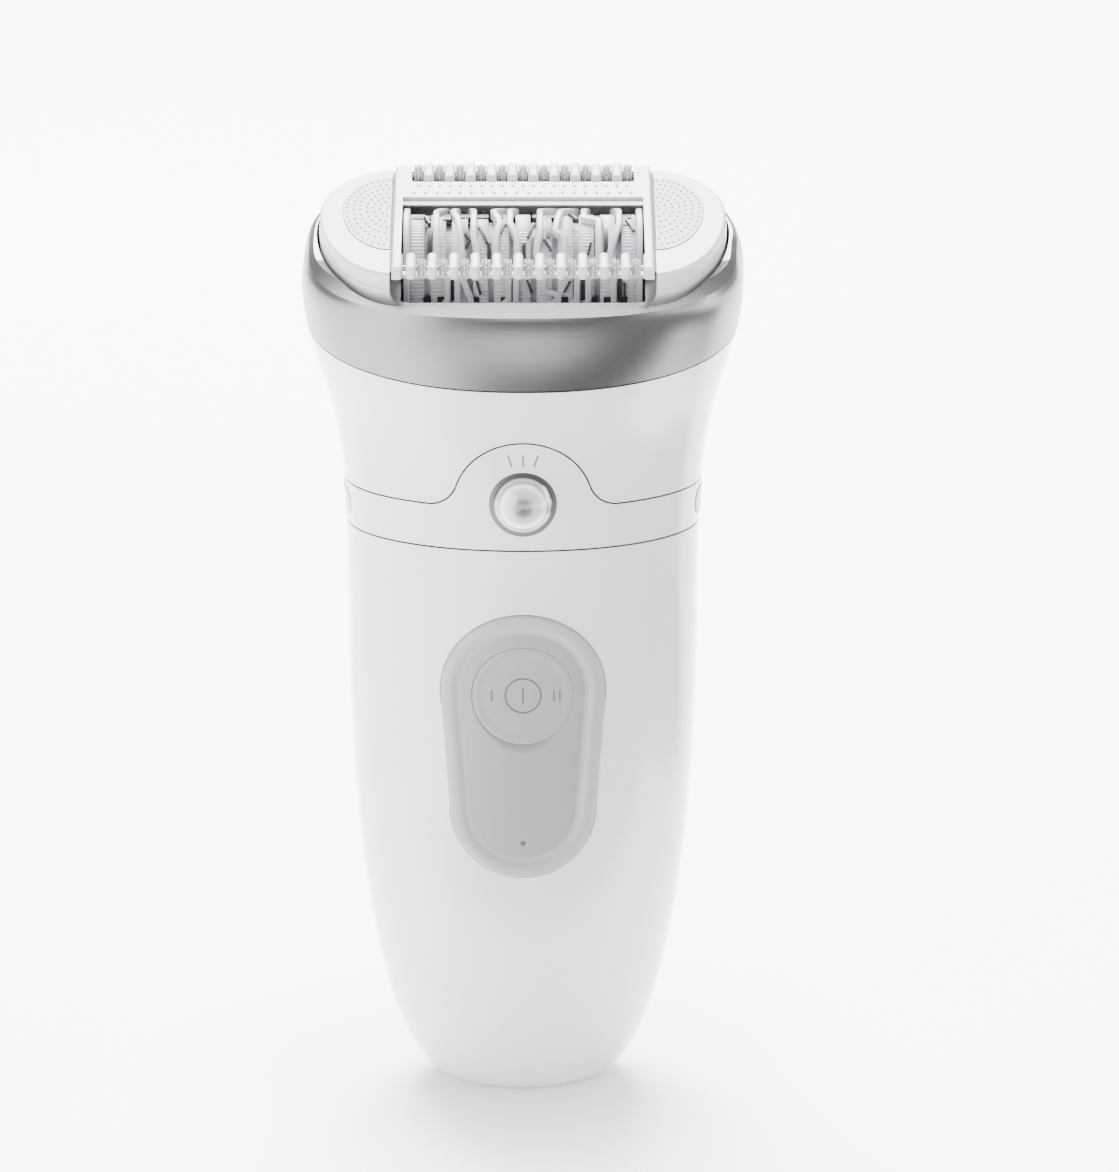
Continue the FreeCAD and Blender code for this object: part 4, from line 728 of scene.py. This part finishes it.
def paint_floor_shade(mat, shaded):
    """Keeps the floor's glow from under the base, a painted contact shadow. A shaded floor also gets a
    painted shade, dim in front and to the right.
    """
    tree = mat.node_tree

    def node(kind, *links, **values):
        made = tree.nodes.new("ShaderNode" + kind)
        for key, value in values.items():
            setattr(made, key, value)
        for index, link in enumerate(links):
            tree.links.new(link, made.inputs[index])
        return made

    def ramp(value, start, end, low=0.0, high=1.0):
        made = node("MapRange", value, interpolation_type="SMOOTHSTEP")
        for key, number in (("From Min", start), ("From Max", end), ("To Min", low), ("To Max", high)):
            made.inputs[key].default_value = number
        return made.outputs["Result"]

    def times(first, second):
        return node("Math", first, second, operation="MULTIPLY").outputs["Value"]

    shader = tree.nodes["Principled BSDF"]
    where = node("TexCoord").outputs["Object"]
    apart = node("VectorMath", where, operation="LENGTH").outputs["Value"]
    glowing = ramp(apart, 0.0, GLOW_FROM, 0.0, FLOOR_GLOW)
    if shaded:
        axes = node("SeparateXYZ", where).outputs
        front, right, near = (
            times(ramp(axes["X"], *x_edge), ramp(axes["Y"], *y_edge)) for x_edge, y_edge in SHADE_EDGES
        )
        either = node("Math", front, right, operation="MAXIMUM").outputs["Value"]
        light = ramp(times(either, near), 0.0, 1.0, 1.0, SHADE_LIGHT)
        glowing = times(light, glowing)
        grey = node("CombineXYZ", light, light, light).outputs["Vector"]
        paint = node("VectorMath", grey, operation="SCALE")
        paint.inputs["Scale"].default_value = FLOOR_GREY
        tree.links.new(paint.outputs["Vector"], shader.inputs["Base Color"])
    tree.links.new(glowing, shader.inputs["Emission Strength"])


def floor(name, height, shaded):
    """A square floor with a faint grain, which glows a little to stay pale."""
    look = material(name, (FLOOR_GREY,) * 3, 0.7, bump=(60, 0.02, EVEN))
    look.node_tree.nodes["Principled BSDF"].inputs["Emission Color"].default_value = (1, 1, 1, 1)
    paint_floor_shade(look, shaded)
    half = FLOOR_SIDE / 2
    corners = [(-half, -half, 0), (half, -half, 0), (half, half, 0), (-half, half, 0)]
    mesh = bpy.data.meshes.new(name)
    mesh.from_pydata(corners, [], [(0, 1, 2, 3)])
    mesh.materials.append(look)
    obj = bpy.data.objects.new(name, mesh)
    obj.matrix_world = Matrix.Translation((0, 0, height))
    bpy.context.scene.collection.objects.link(obj)
    return obj


# The camera sees a plain floor. The object is lit by, and mirrors, a second one just under it, whose soft
# shade gives the metal band its dark side.
seen = floor("floor_pale", 0, False)
seen.visible_diffuse = seen.visible_glossy = seen.visible_shadow = False
mirrored = floor("floor_shaded", -0.0002, True)
mirrored.visible_camera = mirrored.visible_shadow = False


CENTRE = Vector((0, 0, 0.075))


def area_light(name, at, size, power):
    """A softbox that faces the object's middle."""
    light = bpy.data.lights.new(name, "AREA")
    light.shape = "RECTANGLE"
    light.size, light.size_y = size
    light.energy = power
    obj = bpy.data.objects.new(name, light)
    obj.location = at
    obj.rotation_euler = (CENTRE - obj.location).to_track_quat("-Z", "Y").to_euler()
    bpy.context.scene.collection.objects.link(obj)


area_light("softbox_left", (-0.62, -0.78, 0.05), (0.7, 1.1), 18)
area_light("softbox_right", (0.95, -0.15, 0.3), (0.25, 0.8), 7)
area_light("overhead", (-0.1, 0.7, 1.1), (0.9, 0.9), 110)

# even light from all round, fading to half below the horizon
world = bpy.data.worlds.new("studio")
bpy.context.scene.world = world
world.use_nodes = True
tree = world.node_tree
sky = tree.nodes["Background"]
sky.inputs["Strength"].default_value = 0.9
toward = tree.nodes.new("ShaderNodeTexCoord")
parts = tree.nodes.new("ShaderNodeSeparateXYZ")
fade = tree.nodes.new("ShaderNodeMapRange")
fade.inputs["From Min"].default_value = -0.5
fade.inputs["From Max"].default_value = 0.2
fade.inputs["To Min"].default_value = 0.5
tree.links.new(toward.outputs["Generated"], parts.inputs["Vector"])
tree.links.new(parts.outputs["Z"], fade.inputs["Value"])
tree.links.new(fade.outputs["Result"], sky.inputs["Color"])

SENSOR = 24.0
IMAGE_HEIGHT = 1172
LOOK_DOWN = 18  # degrees
camera = bpy.data.cameras.new("camera")
camera.sensor_fit = "VERTICAL"
camera.sensor_height = SENSOR
camera.lens = SENSOR * 5200 / IMAGE_HEIGHT
camera.shift_x = 36.5 / IMAGE_HEIGHT
camera.shift_y = 49.0 / IMAGE_HEIGHT
camera.dof.use_dof = False
camera_object = bpy.data.objects.new("camera", camera)
camera_object.location = (0, -0.7608, 0.3192)
camera_object.rotation_euler = (radians(90 - LOOK_DOWN), 0, 0)
bpy.context.scene.collection.objects.link(camera_object)
bpy.context.scene.camera = camera_object
